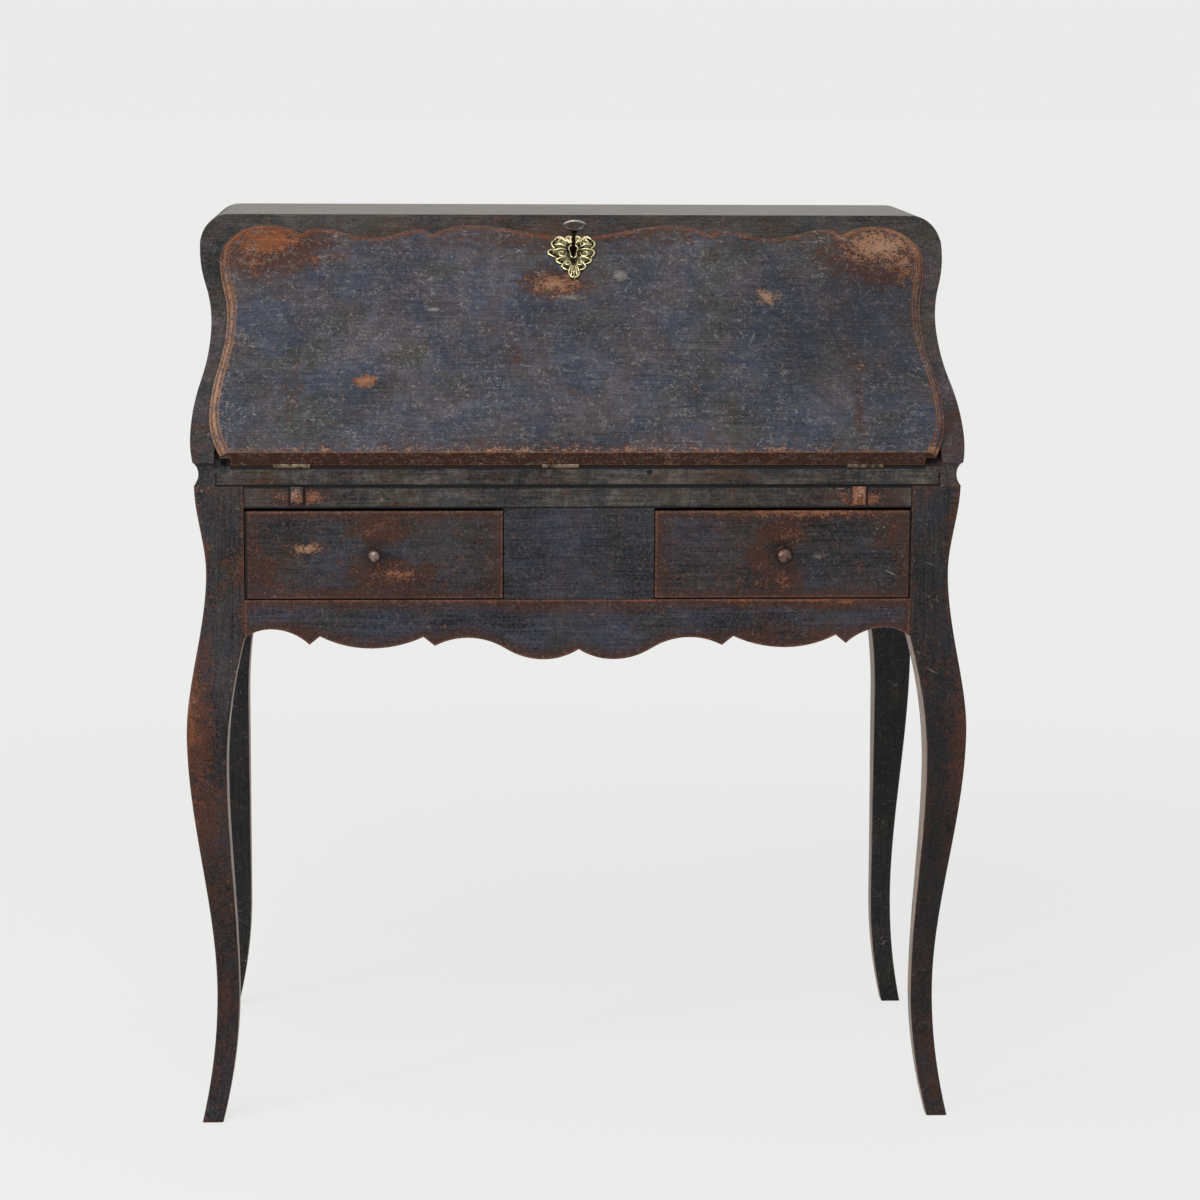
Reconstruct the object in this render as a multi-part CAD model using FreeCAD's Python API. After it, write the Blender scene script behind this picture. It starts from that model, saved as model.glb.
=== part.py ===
import FreeCAD, Part
import math
import os

from FreeCAD import Vector

# Slant-front writing desk on cabriole legs.
# Built with the drawer fronts on y = 0, +Y to the back, +Z up; every piece is then moved
# so that the origin is under the middle of the whole desk.

# Case and frame, mm
CASE_DEPTH = 460.0        # drawer fronts to the back of the case
OPENING_W = 706.0         # between the front stiles
FRAME_H = 693.0           # floor to the top of the legs and rails
BED_T = 22.0              # writing bed
CASE_H = 250.0            # top of the bed to the top of the desk
TOP_T = 25.0              # top board
BACK_T = 14.0             # upper back boards
SIDE_IN_STEP = 13.0       # inner face of an upper side, out from the stile's inner edge
BED_HOUSING = 16.0        # depth of the bed's ends in the upper sides
BACK_HOUSING = 8.0        # depth of the back's ends in the upper sides
RAIL_H = 23.5
RAIL_T = 22.0
APRON_T = 20.0
DRAWER_OPENING_H = 97.5
CENTRE_W = 159.0          # fixed panel between the drawers
PANEL_T = 20.0            # lower side panel at its waist
LOWER_BACK_T = 18.0
LOWER_BACK_H = 140.0
TENON_T = 9.0
TENON_L = 18.0
RAIL_SHOULDER = 4.0       # shoulders above and below the tenons
APRON_SHOULDER = 6.0
PANEL_SHOULDER = 13.0
BACK_SHOULDER = 15.0
CENTRE_SHOULDER = 15.0
PANEL_TENON_IN = 4.0      # side panel's tenon out from the panel's inner face
EDGE_R = 1.2              # eased edges of boards and drawer fronts
SEAM_R = 0.8              # eased edges where boards meet flush
TOP_EDGE_R = 2.5          # front edge of the top board

# Leg, measured out from the leg's top corner
STILE_W = 51.5
STILE_D = 48.0
WAIST_CUT = 11.5
WAIST_Z = 602.0
KNEE_OUT = 10.5
KNEE_FRONT = 11.0
KNEE_Z = 428.0
KNEE_INNER_Z = 385.0
KNEE_W = 42.0
ANKLE_IN = 16.5
REAR_ANKLE_IN = 8.0       # the rear legs stand wider
ANKLE_Z = 142.0
ANKLE_W = 24.0
FOOT_KICK = 16.5
FOOT_W = 22.5
ARRIS_R = 2.5

# Upper side, measured out from the leg's top corner
NECK_CUT = 5.0
NECK_H = 26.0
BULGE_LOW = 4.0
BULGE_LOW_UP = 30.0       # above the bed
WAIST_UP_CUT = 13.0
WAIST_UP = 135.0          # above the bed
BULGE_HIGH = 3.5
CORNER_R = 30.0           # rounded top corner
COVE_R = 12.0             # hollow under the nose of the side

# Fall, in its own plane: across, up the slope, out of the face
SLANT = 45.0
FALL_T = 21.5
LIP_T = 9.5
SEAT_GAP = 0.3            # lip off its seat
FALL_GAP = 0.8            # tongue of the fall off the sides
EDGE_GAP = 0.6            # lower edge off the bed's front when open
LOCK_RAIL_DROP = 6.5      # lock rail's front below the top board, along the slope
LIP_MARGIN_LOW = 19.5     # lip's edge in from the side's edge, lower bulge
LIP_MARGIN_WAIST = 17.0
LIP_MARGIN_HIGH = 23.0
LIP_LOW_UP = 55.0
LIP_WAIST_UP = 185.0
LIP_HIGH_DOWN = 27.3      # upper bulge below the tongue's top
LIP_CORNER_R = 50.0
LIP_FOOT_IN = 13.0        # lower corner in from the lower bulge
VALLEY_R = 1.5

# Moulding round the lip: inset from the edge, height above the lip's seat
LIP_PROFILE = [(0.0, 0.0), (0.0, 3.4), (1.2, 4.6), (2.4, 4.6), (2.8, 3.9), (3.4, 6.4), (4.8, 8.3),
               (6.6, 9.3), (8.2, 9.4), (9.2, 8.5), (9.9, 9.5)]

# Scallops of the apron: share of the half opening, depth below the drawers
APRON_CUSP = (0.0, 53.7)
APRON_LOBE = (0.105, 64.5)
APRON_ARCH = (0.334, 41.0)
APRON_POINT = (0.432, 49.6)
APRON_NOTCH = (0.466, 40.0)
APRON_BROAD = (0.623, 52.2)
APRON_NOTCH_2 = (0.776, 39.0)
APRON_POINT_2 = (0.807, 48.0)
APRON_ARCH_2 = (0.9235, 31.3)
APRON_END = (1.0, 40.5)

# Scallops of the side panels: share of the half width between the legs, depth below the drawers
SIDE_LOBE = (0.0, 60.0)
SIDE_ARCH = (0.52, 38.0)
SIDE_POINT = (0.70, 46.0)
SIDE_NOTCH = (0.76, 37.0)
SIDE_ARCH_2 = (0.90, 31.0)
SIDE_END = (1.0, 36.0)

# Scallops of the fall's upper edge: share of the lip's half width, height above the tongue
CREST_DIP = (0.0, 6.7)
CREST_LOBE = (0.2935, 23.2)
CREST_VALLEY = (0.40, 9.7)
CREST_HUMP = (0.431, 17.2)
CREST_DIP_2 = (0.566, 5.2)
CREST_HUMP_2 = (0.7325, 18.7)
CREST_VALLEY_2 = (0.769, 9.7)

# Drawers
DRAWER_GAP = 0.8
DRAWER_TOP_GAP = 2.8      # the worn drawers hang low in their openings
DRAWER_FRONT_T = 20.0
DRAWER_SIDE_T = 11.0
DRAWER_BOTTOM_T = 7.0
DRAWER_BACK_GAP = 57.0    # drawer to the lower back
DRAWER_SIDE_DROP = 8.0    # sides lower than the front
DRAWER_BACK_DROP = 6.0    # back lower than the sides
GROOVE = 5.0
TAIL_LAP = 7.0            # wood left in front of the tails
RUNNER_T = 12.0
RUNNER_W = 12.0           # ledge under the drawer's side
FENCE_H = 18.0
KNOB_D_LEFT = 15.0
KNOB_D_RIGHT = 19.0
KNOB_STEM_R = 3.0
KNOB_NECK_R = 1.15        # neck, share of the stem's radius
KNOB_NECK = 0.34          # neck's length, share of the knob's diameter

# Lopers, the pull-out supports of the fall
LOPER_IN = 56.0           # middle of the loper in from the stile
LOPER_W = 16.0
LOPER_H = 19.6
LOPER_TOP_GAP = 0.3
LOPER_SIDE_GAP = 0.5
LOPER_BACK_GAP = 43.0     # loper short of its guide
LOPER_PROUD = 1.5
LOPER_POINT = 2.5
LOPER_TRAVEL = 240.0
GUIDE_WALL = 10.0
GUIDE_BACK_GAP = 20.0     # guide short of the lower back
PEG_D = 6.0
PEG_DROP = 2.8
PEG_IN = 60.0             # peg in from the loper's inner end
PEG_GAP = 0.3
PULL_R = 2.6
PULL_PIN_L = 14.0

# Hinges
HINGE_IN = 51.0           # outer hinges in from the stiles
HINGE_OFF = -20.0         # middle hinge beside the middle
HINGE_L = 38.0
LEAF_L = 26.0
LEAF_T = 1.5
BARREL_R = 3.0
BARREL_GAP = 0.3
PIN_R = 1.25
PIN_PLAY = 0.05
SCREW_R = 1.5
SCREW_HEAD_R = 2.8
SCREW_HEAD_H = 1.3
SCREW_L = 12.0

# Lock and key
KEY_DOWN = 17.3           # keyhole below the tongue's top
LOCK_W = 60.0
LOCK_H = 37.0
LOCK_T = 13.0
LOCK_WALL = 1.5
LOCK_EAR = 11.0
BOLT_W = 14.0
BOLT_T = 4.0
BOLT_L = 29.0
BOLT_TRAVEL = 8.0
BOLT_PLAY = 0.15
BOLT_OFF = 1.5            # bolt beside the sweep of the bit
BOLT_OVERRUN = 2.0        # bolt way past the thrown bolt
STRIKE_GAP = 0.7          # fall's tongue to the lock rail
STRIKE_T = 1.2
STRIKE_W = 44.0
STRIKE_IN = 1.0
LOCK_RAIL_D = 20.0
KEY_R = 2.1
KEY_PLAY = 0.08
KEY_OUT = 31.5
BIT_REACH = 9.0
BIT_L = 5.5
BIT_T = 2.4
BIT_GAP = 1.0             # bit off the lock's back
COLLAR_L = 2.0
COLLAR_IN = 3.0
BOW_SINK = 0.6            # bow run into the shank
BOW_W = 24.5
BOW_H = 17.0
BOW_T = 2.6
BOW_RIM = 2.6
ESCUTCHEON_T = 2.2
TACK_HEAD_R = 1.6
TACK_R = 0.8
TACK_L = 9.0
HOLE_R = 3.4
HOLE_SLOT_W = 3.4
HOLE_SLOT_L = 11.0

# Inside fittings
FITTING_D = 166.0
FITTING_T = 8.0
NICHE_W = 240.0
NICHE_H = 80.0
SMALL_GAP = 0.6
SMALL_FRONT_T = 12.0
SMALL_SIDE_T = 7.0
SMALL_BOTTOM_T = 4.0
SMALL_SET_BACK = 4.0
SMALL_DEPTH = 150.0
SMALL_GROOVE = 3.0
SMALL_LAP = 4.0
SMALL_DROP = 5.0
SMALL_KNOB_D = 12.0

BED_TOP = FRAME_H + BED_T
TOP_Z = BED_TOP + CASE_H
TOP_UNDER = TOP_Z - TOP_T
STILE_IN = OPENING_W / 2
OUT = STILE_IN + STILE_W
SIDE_IN = STILE_IN + SIDE_IN_STEP
BED_HALF = SIDE_IN + BED_HOUSING
CENTRE_HALF = CENTRE_W / 2
RAIL_UNDER = FRAME_H - RAIL_H
DRAWER_FLOOR = RAIL_UNDER - DRAWER_OPENING_H
RUN_Z = DRAWER_FLOOR + DRAWER_GAP
APRON_END_Z = DRAWER_FLOOR - APRON_END[1]
LIP_SEAT = FALL_T - LIP_T
BAND = LIP_SEAT - SEAT_GAP
SLOPE = math.radians(SLANT)
RAIL_UP = (TOP_UNDER - BED_TOP) / math.sin(SLOPE) - BAND / math.tan(SLOPE) - LOCK_RAIL_DROP
TONGUE_TOP = RAIL_UP - STRIKE_GAP
KEY_UP = TONGUE_TOP - KEY_DOWN
CASE_INSIDE_BACK = CASE_DEPTH - BACK_T
LOWER_BACK_Y = CASE_DEPTH - LOWER_BACK_T
DRAWER_DEPTH = LOWER_BACK_Y - DRAWER_BACK_GAP
LOPER_X = STILE_IN - LOPER_IN
GUIDE_END = LOWER_BACK_Y - GUIDE_BACK_GAP
LOPER_END = GUIDE_END - LOPER_BACK_GAP
HINGE_X = (HINGE_IN - STILE_IN, HINGE_OFF, STILE_IN - HINGE_IN)
PANEL_IN = OUT - WAIST_CUT - PANEL_T
parts = {}


def box(x0, x1, y0, y1, z0, z1):
    low = Vector(min(x0, x1), min(y0, y1), min(z0, z1))
    return Part.makeBox(abs(x1 - x0), abs(y1 - y0), abs(z1 - z0), low)


def rod(radius, length, base, direction):
    return Part.makeCylinder(radius, length, base, direction)


def mirrored(shape):
    return shape.mirror(Vector(0, 0, 0), Vector(1, 0, 0))


def fused(shapes):
    return shapes[0].multiFuse(shapes[1:]).removeSplitter()


def across_x(points, x0, x1):
    # prism of a (y, z) polygon between two x planes
    wire = Part.makePolygon([Vector(x0, y, z) for y, z in points + points[:1]])
    return Part.Face(wire).extrude(Vector(x1 - x0, 0, 0))


def xz(point):
    return Vector(point[0], 0, point[1])


def yz(point):
    return Vector(0, point[0], point[1])


def xy(point):
    return Vector(point[0], point[1], 0)


def slope_plane(height):
    # places points of the fall's plane at a height out of it
    def place(point):
        return Vector(point[0], point[1], height)
    return place


def eased(shape, y, radius):
    # rounds the edges of the face on one y plane
    rim = [e for e in shape.Edges if abs(e.BoundBox.YMin - y) < 0.01 and abs(e.BoundBox.YMax - y) < 0.01]
    return shape.makeFillet(radius, rim)


def line(p, q, place):
    return Part.makeLine(place(p), place(q))


def bezier(poles, place):
    curve = Part.BezierCurve()
    curve.setPoles([place(p) for p in poles])
    return curve.toShape()


def s_curve(p, q, place):
    # leaves p upright and reaches q upright
    third = (q[1] - p[1]) / 3
    return bezier([p, (p[0], p[1] + third), (q[0], q[1] - third), q], place)


def flare(p, q, place):
    # leaves p upright and runs out to q
    return bezier([p, (p[0], (p[1] + q[1]) / 2), q], place)


def prism(edges, direction):
    return Part.Face(Part.Wire(Part.__sortEdges__(edges))).extrude(direction)


# Arcs are kept as three points in a plane: start, middle, end.
def arc_on(centre, start, end):
    radius = math.dist(centre, start)
    mid = (start[0] + end[0] - 2 * centre[0], start[1] + end[1] - 2 * centre[1])
    scale = radius / math.hypot(*mid)
    return (start, (centre[0] + mid[0] * scale, centre[1] + mid[1] * scale), end)


def crest_arc(crest, end, upright=False):
    # level (or upright) at the crest, ending at the end point
    if upright:
        return tuple(p[::-1] for p in crest_arc(crest[::-1], end[::-1]))
    rise = end[1] - crest[1]
    reach = ((end[0] - crest[0]) ** 2 + rise ** 2) / (2 * rise)
    return arc_on((crest[0], crest[1] + reach), crest, end)


def ogee(p, q, upright=False):
    middle = ((p[0] + q[0]) / 2, (p[1] + q[1]) / 2)
    return [crest_arc(p, middle, upright), crest_arc(q, middle, upright)[::-1]]


def centre_of(arc):
    (ax, ay), (bx, by), (cx, cy) = arc
    d = 2 * (ax * (by - cy) + bx * (cy - ay) + cx * (ay - by))
    aa, bb, cc = ax * ax + ay * ay, bx * bx + by * by, cx * cx + cy * cy
    return ((aa * (by - cy) + bb * (cy - ay) + cc * (ay - by)) / d,
            (aa * (cx - bx) + bb * (ax - cx) + cc * (bx - ax)) / d)


def eased_valley(first, second, radius):
    # rounds the sharp valley between two lobes
    c1, c2 = centre_of(first), centre_of(second)
    r1 = math.dist(c1, first[0]) + radius
    r2 = math.dist(c2, second[0]) + radius
    gap = math.dist(c1, c2)
    along = (r1 * r1 - r2 * r2 + gap * gap) / (2 * gap)
    off = math.sqrt(r1 * r1 - along * along)
    ux, uy = (c2[0] - c1[0]) / gap, (c2[1] - c1[1]) / gap
    choices = [(c1[0] + along * ux - k * off * uy, c1[1] + along * uy + k * off * ux) for k in (1, -1)]
    middle = min(choices, key=lambda c: math.dist(c, first[2]))
    t1 = tuple(c1[i] + (middle[i] - c1[i]) * (r1 - radius) / r1 for i in (0, 1))
    t2 = tuple(c2[i] + (middle[i] - c2[i]) * (r2 - radius) / r2 for i in (0, 1))
    return [arc_on(c1, first[0], t1), arc_on(middle, t1, t2), arc_on(c2, t2, second[2])]


def flipped(arcs):
    # mirror image of a run of arcs, in the order that carries it on
    return [tuple((-x, y) for x, y in arc[::-1]) for arc in arcs[::-1]]


def arc_edges(arcs, place):
    return [Part.Arc(*[place(p) for p in arc]).toShape() for arc in arcs]


def on_slope(shape):
    # from the fall's own plane to its closed place over the bed
    placed = shape.copy()
    placed.rotate(Vector(0, 0, 0), Vector(1, 0, 0), SLANT)
    placed.translate(Vector(0, 0, BED_TOP))
    return placed


def slope_point(up, out):
    return (up * math.cos(SLOPE) - out * math.sin(SLOPE),
            BED_TOP + up * math.sin(SLOPE) + out * math.cos(SLOPE))


def band_y(z):
    # front of the sides and top, on the plane that the lip closes on
    return (z - BED_TOP) / math.tan(SLOPE) - BAND / math.sin(SLOPE)


def screw(at, direction):
    head = Part.makeCone(SCREW_HEAD_R, SCREW_R, SCREW_HEAD_H, at, direction)
    return head.fuse(rod(SCREW_R, SCREW_L, at, direction)).removeSplitter()


def front_leg(ankle_in):
    # one face sawn to the front outline, the next to the side outline
    ankle_x = OUT - ankle_in
    foot_x = ankle_x + FOOT_KICK
    knee_x = OUT + KNEE_OUT
    outer = [(OUT, FRAME_H), (OUT - WAIST_CUT, WAIST_Z), (knee_x, KNEE_Z), (ankle_x, ANKLE_Z)]
    edges = [s_curve(p, q, xz) for p, q in zip(outer, outer[1:])]
    edges += [
        flare((ankle_x, ANKLE_Z), (foot_x, 0), xz),
        line((foot_x, 0), (foot_x - FOOT_W, 0), xz),
        flare((ankle_x - ANKLE_W, ANKLE_Z), (foot_x - FOOT_W, 0), xz),
        s_curve((knee_x - KNEE_W, KNEE_INNER_Z), (ankle_x - ANKLE_W, ANKLE_Z), xz),
        flare((knee_x - KNEE_W, KNEE_INNER_Z), (STILE_IN, APRON_END_Z), xz),
        line((STILE_IN, APRON_END_Z), (STILE_IN, FRAME_H), xz),
        line((STILE_IN, FRAME_H), (OUT, FRAME_H), xz),
    ]
    ankle_y = KNEE_OUT + ankle_in - KNEE_FRONT
    foot_y = ankle_y - FOOT_KICK
    side = [
        line((0, FRAME_H), (0, APRON_END_Z), yz),
        s_curve((0, APRON_END_Z), (-KNEE_FRONT, KNEE_Z), yz),
        s_curve((-KNEE_FRONT, KNEE_Z), (ankle_y, ANKLE_Z), yz),
        flare((ankle_y, ANKLE_Z), (foot_y, 0), yz),
        line((foot_y, 0), (foot_y + FOOT_W, 0), yz),
        flare((ankle_y + ANKLE_W, ANKLE_Z), (foot_y + FOOT_W, 0), yz),
        s_curve((KNEE_W - KNEE_FRONT, KNEE_INNER_Z), (ankle_y + ANKLE_W, ANKLE_Z), yz),
        flare((KNEE_W - KNEE_FRONT, KNEE_INNER_Z), (STILE_D, APRON_END_Z), yz),
        line((STILE_D, APRON_END_Z), (STILE_D, FRAME_H), yz),
        line((STILE_D, FRAME_H), (0, FRAME_H), yz),
    ]
    blank = prism(edges, Vector(0, 4 * STILE_D, 0))
    blank.translate(Vector(0, -2 * STILE_D, 0))
    leg = blank.common(prism(side, Vector(OUT + 4 * STILE_W, 0, 0)))
    arrises = [e for e in leg.Edges if e.BoundBox.ZLength > 1 and e.BoundBox.ZMax < APRON_END_Z + 1]
    return leg.makeFillet(ARRIS_R, arrises)


def apron():
    spot = {name: (share * STILE_IN, DRAWER_FLOOR - drop) for name, (share, drop) in {
        "cusp": APRON_CUSP, "lobe": APRON_LOBE, "arch": APRON_ARCH, "point": APRON_POINT,
        "notch": APRON_NOTCH, "broad": APRON_BROAD, "notch2": APRON_NOTCH_2,
        "point2": APRON_POINT_2, "arch2": APRON_ARCH_2, "end": APRON_END}.items()}
    arcs = [crest_arc(spot["lobe"], spot["cusp"])[::-1]]
    arcs += ogee(spot["lobe"], spot["arch"])
    arcs += [crest_arc(spot["arch"], spot["point"])]
    after = [crest_arc(spot["broad"], spot["notch"])[::-1], crest_arc(spot["broad"], spot["notch2"])]
    last = [crest_arc(spot["arch2"], spot["point2"])[::-1], crest_arc(spot["arch2"], spot["end"])]
    edges = arc_edges(arcs + after + last, xz)
    edges += [line(spot["point"], spot["notch"], xz), line(spot["notch2"], spot["point2"], xz)]
    edges += [line(spot["end"], (STILE_IN, DRAWER_FLOOR), xz)]
    edges += [e.mirror(Vector(0, 0, 0), Vector(1, 0, 0)) for e in edges]
    edges += [line((STILE_IN, DRAWER_FLOOR), (-STILE_IN, DRAWER_FLOOR), xz)]
    board = prism(edges, Vector(0, APRON_T, 0))
    board = eased(board, 0, SEAM_R)
    middle = APRON_T / 2
    tenon = box(-STILE_IN - TENON_L, STILE_IN + TENON_L, middle - TENON_T / 2, middle + TENON_T / 2,
                APRON_END_Z + APRON_SHOULDER, DRAWER_FLOOR - APRON_SHOULDER)
    bar = tenon.cut(box(-STILE_IN, STILE_IN, 0, APRON_T, 0, FRAME_H))
    return fused([board] + bar.Solids)


def side_panel():
    half = (CASE_DEPTH - 2 * STILE_D) / 2
    outer = [(OUT, FRAME_H), (OUT - WAIST_CUT, WAIST_Z), (OUT + KNEE_OUT, KNEE_Z)]
    edges = [s_curve(p, q, xz) for p, q in zip(outer, outer[1:])]
    edges += [line(outer[-1], (PANEL_IN, KNEE_Z), xz), line((PANEL_IN, KNEE_Z), (PANEL_IN, FRAME_H), xz)]
    edges += [line((PANEL_IN, FRAME_H), outer[0], xz)]
    blank = prism(edges, Vector(0, CASE_DEPTH, 0))
    spot = {name: (share * half, DRAWER_FLOOR - drop) for name, (share, drop) in {
        "lobe": SIDE_LOBE, "arch": SIDE_ARCH, "point": SIDE_POINT, "notch": SIDE_NOTCH,
        "arch2": SIDE_ARCH_2, "end": SIDE_END}.items()}
    arcs = ogee(spot["lobe"], spot["arch"]) + [crest_arc(spot["arch"], spot["point"])]
    arcs += [crest_arc(spot["arch2"], spot["notch"])[::-1], crest_arc(spot["arch2"], spot["end"])]
    edges = arc_edges(arcs, yz) + [line(spot["point"], spot["notch"], yz)]
    edges += [line(spot["end"], (half, FRAME_H), yz)]
    edges += [e.mirror(Vector(0, 0, 0), Vector(0, 1, 0)) for e in edges]
    edges += [line((half, FRAME_H), (-half, FRAME_H), yz)]
    cut = prism(edges, Vector(OUT + STILE_W, 0, 0))
    cut.translate(Vector(0, CASE_DEPTH / 2, 0))
    board = blank.common(cut)
    inner = PANEL_IN + PANEL_TENON_IN
    tenon = box(inner, inner + TENON_T, STILE_D - TENON_L, CASE_DEPTH - STILE_D + TENON_L,
                APRON_END_Z + PANEL_SHOULDER, FRAME_H - PANEL_SHOULDER)
    ends = tenon.cut(box(0, OUT, STILE_D, CASE_DEPTH - STILE_D, 0, FRAME_H))
    return fused([board] + ends.Solids)


def upper_side():
    low = (OUT + BULGE_LOW, BED_TOP + BULGE_LOW_UP)
    waist = (OUT - WAIST_UP_CUT, BED_TOP + WAIST_UP)
    high = (OUT + BULGE_HIGH, TOP_Z - CORNER_R)
    corner = (high[0] - CORNER_R, high[1])
    rise = TOP_UNDER - high[1]
    end = (corner[0] + math.sqrt(CORNER_R ** 2 - rise ** 2), TOP_UNDER)
    nose = (OUT, FRAME_H + NECK_H)
    neck = ((OUT, FRAME_H), (OUT - NECK_CUT, FRAME_H + NECK_H / 2), nose)
    arcs = [neck, crest_arc(low, nose, True)[::-1]] + ogee(low, waist, True) + ogee(waist, high, True)
    arcs += [arc_on(corner, high, end)]
    edges = arc_edges(arcs, xz)
    edges += [line(end, (SIDE_IN, TOP_UNDER), xz), line((SIDE_IN, TOP_UNDER), (SIDE_IN, FRAME_H), xz)]
    edges += [line((SIDE_IN, FRAME_H), (OUT, FRAME_H), xz)]
    blank = prism(edges, Vector(0, CASE_DEPTH + 4 * COVE_R, 0))
    blank.translate(Vector(0, -4 * COVE_R, 0))
    tip_z = BED_TOP + BAND * math.cos(SLOPE) - COVE_R / 3
    tip = (band_y(tip_z), tip_z)
    cove = arc_on((tip[0], tip[1] + tip[0]), (0, tip[1] + tip[0]), tip)
    edges = arc_edges([cove], yz)
    edges += [line((0, FRAME_H), cove[0], yz), line(tip, (band_y(TOP_UNDER), TOP_UNDER), yz)]
    edges += [line((band_y(TOP_UNDER), TOP_UNDER), (CASE_DEPTH, TOP_UNDER), yz)]
    edges += [line((CASE_DEPTH, TOP_UNDER), (CASE_DEPTH, FRAME_H), yz)]
    edges += [line((CASE_DEPTH, FRAME_H), (0, FRAME_H), yz)]
    side = blank.common(prism(edges, Vector(OUT + 4 * STILE_W, 0, 0)))
    side = side.cut(box(SIDE_IN, SIDE_IN + BACK_HOUSING, CASE_INSIDE_BACK, CASE_DEPTH, FRAME_H, TOP_UNDER))
    side = side.cut(box(SIDE_IN, BED_HALF, 0, CASE_INSIDE_BACK, FRAME_H, BED_TOP))
    relief = box(SIDE_IN, BED_HALF + EDGE_GAP, -4 * COVE_R, LIP_FOOT_IN + LIP_T, -SEAT_GAP, 4 * FALL_T)
    return side.cut(on_slope(relief))


def top_board():
    high = OUT + BULGE_HIGH
    corner = (high - CORNER_R, TOP_Z - CORNER_R)
    rise = TOP_UNDER - corner[1]
    end = (corner[0] + math.sqrt(CORNER_R ** 2 - rise ** 2), TOP_UNDER)
    edges = arc_edges([arc_on(corner, end, (corner[0], TOP_Z))], xz)
    edges += [line(end, (0, TOP_UNDER), xz), line((corner[0], TOP_Z), (0, TOP_Z), xz)]
    edges += [e.mirror(Vector(0, 0, 0), Vector(1, 0, 0)) for e in edges]
    blank = prism(edges, Vector(0, CASE_DEPTH, 0))
    outline = [(band_y(TOP_UNDER), TOP_UNDER), (band_y(TOP_Z), TOP_Z), (CASE_DEPTH, TOP_Z),
               (CASE_DEPTH, TOP_UNDER)]
    board = blank.common(across_x(outline, -2 * OUT, 2 * OUT))
    ridge = [e for e in board.Edges if e.BoundBox.ZMin > TOP_Z - 0.01 and e.BoundBox.YMax < band_y(TOP_Z) + 0.01]
    return board.makeFillet(TOP_EDGE_R, ridge)


def lip_outline():
    # right half of the fall's edge, from its lower corner up and over to the middle
    low = (OUT + BULGE_LOW - LIP_MARGIN_LOW, LIP_LOW_UP)
    waist = (OUT - WAIST_UP_CUT - LIP_MARGIN_WAIST, LIP_WAIST_UP)
    high = (OUT + BULGE_HIGH - LIP_MARGIN_HIGH, TONGUE_TOP - LIP_HIGH_DOWN)
    crest = (high[0] - LIP_CORNER_R, high[1] + LIP_CORNER_R)
    foot = (low[0] - LIP_FOOT_IN, EDGE_GAP)
    dip, lobe, valley, hump, dip2, hump2, valley2 = [
        (share * high[0], TONGUE_TOP + rise) for share, rise in (
            CREST_DIP, CREST_LOBE, CREST_VALLEY, CREST_HUMP, CREST_DIP_2, CREST_HUMP_2, CREST_VALLEY_2)]
    arcs = [crest_arc(low, foot, True)[::-1]] + ogee(low, waist, True) + ogee(waist, high, True)
    arcs += [arc_on((crest[0], high[1]), high, crest)]
    arcs += eased_valley(crest_arc(crest, valley2), crest_arc(hump2, valley2)[::-1], VALLEY_R)
    arcs += ogee(hump2, dip2) + ogee(dip2, hump)
    arcs += eased_valley(crest_arc(hump, valley), crest_arc(lobe, valley)[::-1], VALLEY_R)
    arcs += ogee(lobe, dip)
    return arcs


def inset_arc(arc, depth):
    # the fall lies to the left of the run of its outline
    (ax, ay), (bx, by), (cx, cy) = arc
    centre = centre_of(arc)
    radius = math.dist(centre, arc[0])
    turn = 1 if (bx - ax) * (cy - by) - (by - ay) * (cx - bx) > 0 else -1
    keep = (radius - turn * depth) / radius
    return tuple((centre[0] + (x - centre[0]) * keep, centre[1] + (y - centre[1]) * keep) for x, y in arc)


def lip_ring(arcs, depth, height):
    ring = [inset_arc(arc, depth) for arc in arcs]
    centre = centre_of(ring[0])
    radius = math.dist(centre, ring[0][0])
    foot = (centre[0] + math.sqrt(radius ** 2 - (EDGE_GAP - centre[1]) ** 2), EDGE_GAP)
    ring[0] = arc_on(centre, foot, ring[0][2])
    ring += flipped(ring)
    at = slope_plane(height)
    return arc_edges(ring, at) + [line((-foot[0], foot[1]), foot, at)]


def fall_board():
    arcs = lip_outline()
    rings = [lip_ring(arcs, depth, LIP_SEAT + height) for depth, height in LIP_PROFILE]
    faces = [Part.makeRuledSurface(a, b) for low, high in zip(rings, rings[1:]) for a, b in zip(low, high)]
    faces += [Part.Face(Part.Wire(rings[0])), Part.Face(Part.Wire(rings[-1]))]
    shell = Part.makeShell(faces)
    shell.sewShape()
    lip = Part.makeSolid(Part.Shell(shell.Faces))
    if lip.Volume < 0:
        lip.reverse()
    half = SIDE_IN - FALL_GAP
    return fused([lip, box(-half, half, EDGE_GAP, TONGUE_TOP, 0, LIP_SEAT)])


def keyhole(low, high):
    slot = box(-HOLE_SLOT_W / 2, HOLE_SLOT_W / 2, KEY_UP - HOLE_SLOT_L, KEY_UP, low, high)
    return rod(HOLE_R, high - low, Vector(0, KEY_UP, low), Vector(0, 0, 1)).fuse(slot).removeSplitter()


def lock():
    low = TONGUE_TOP - LOCK_H
    case = box(-LOCK_W / 2, LOCK_W / 2, low, TONGUE_TOP, 0, LOCK_T)
    cap = box(-LOCK_W / 2 - LOCK_EAR, LOCK_W / 2 + LOCK_EAR, low, TONGUE_TOP, 0, LOCK_WALL)
    body = fused([case, cap])
    hollow = box(-LOCK_W / 2 + LOCK_WALL, LOCK_W / 2 - LOCK_WALL, low + LOCK_WALL, TONGUE_TOP - LOCK_WALL,
                 LOCK_WALL, LOCK_T - LOCK_WALL)
    return body, hollow


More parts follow.
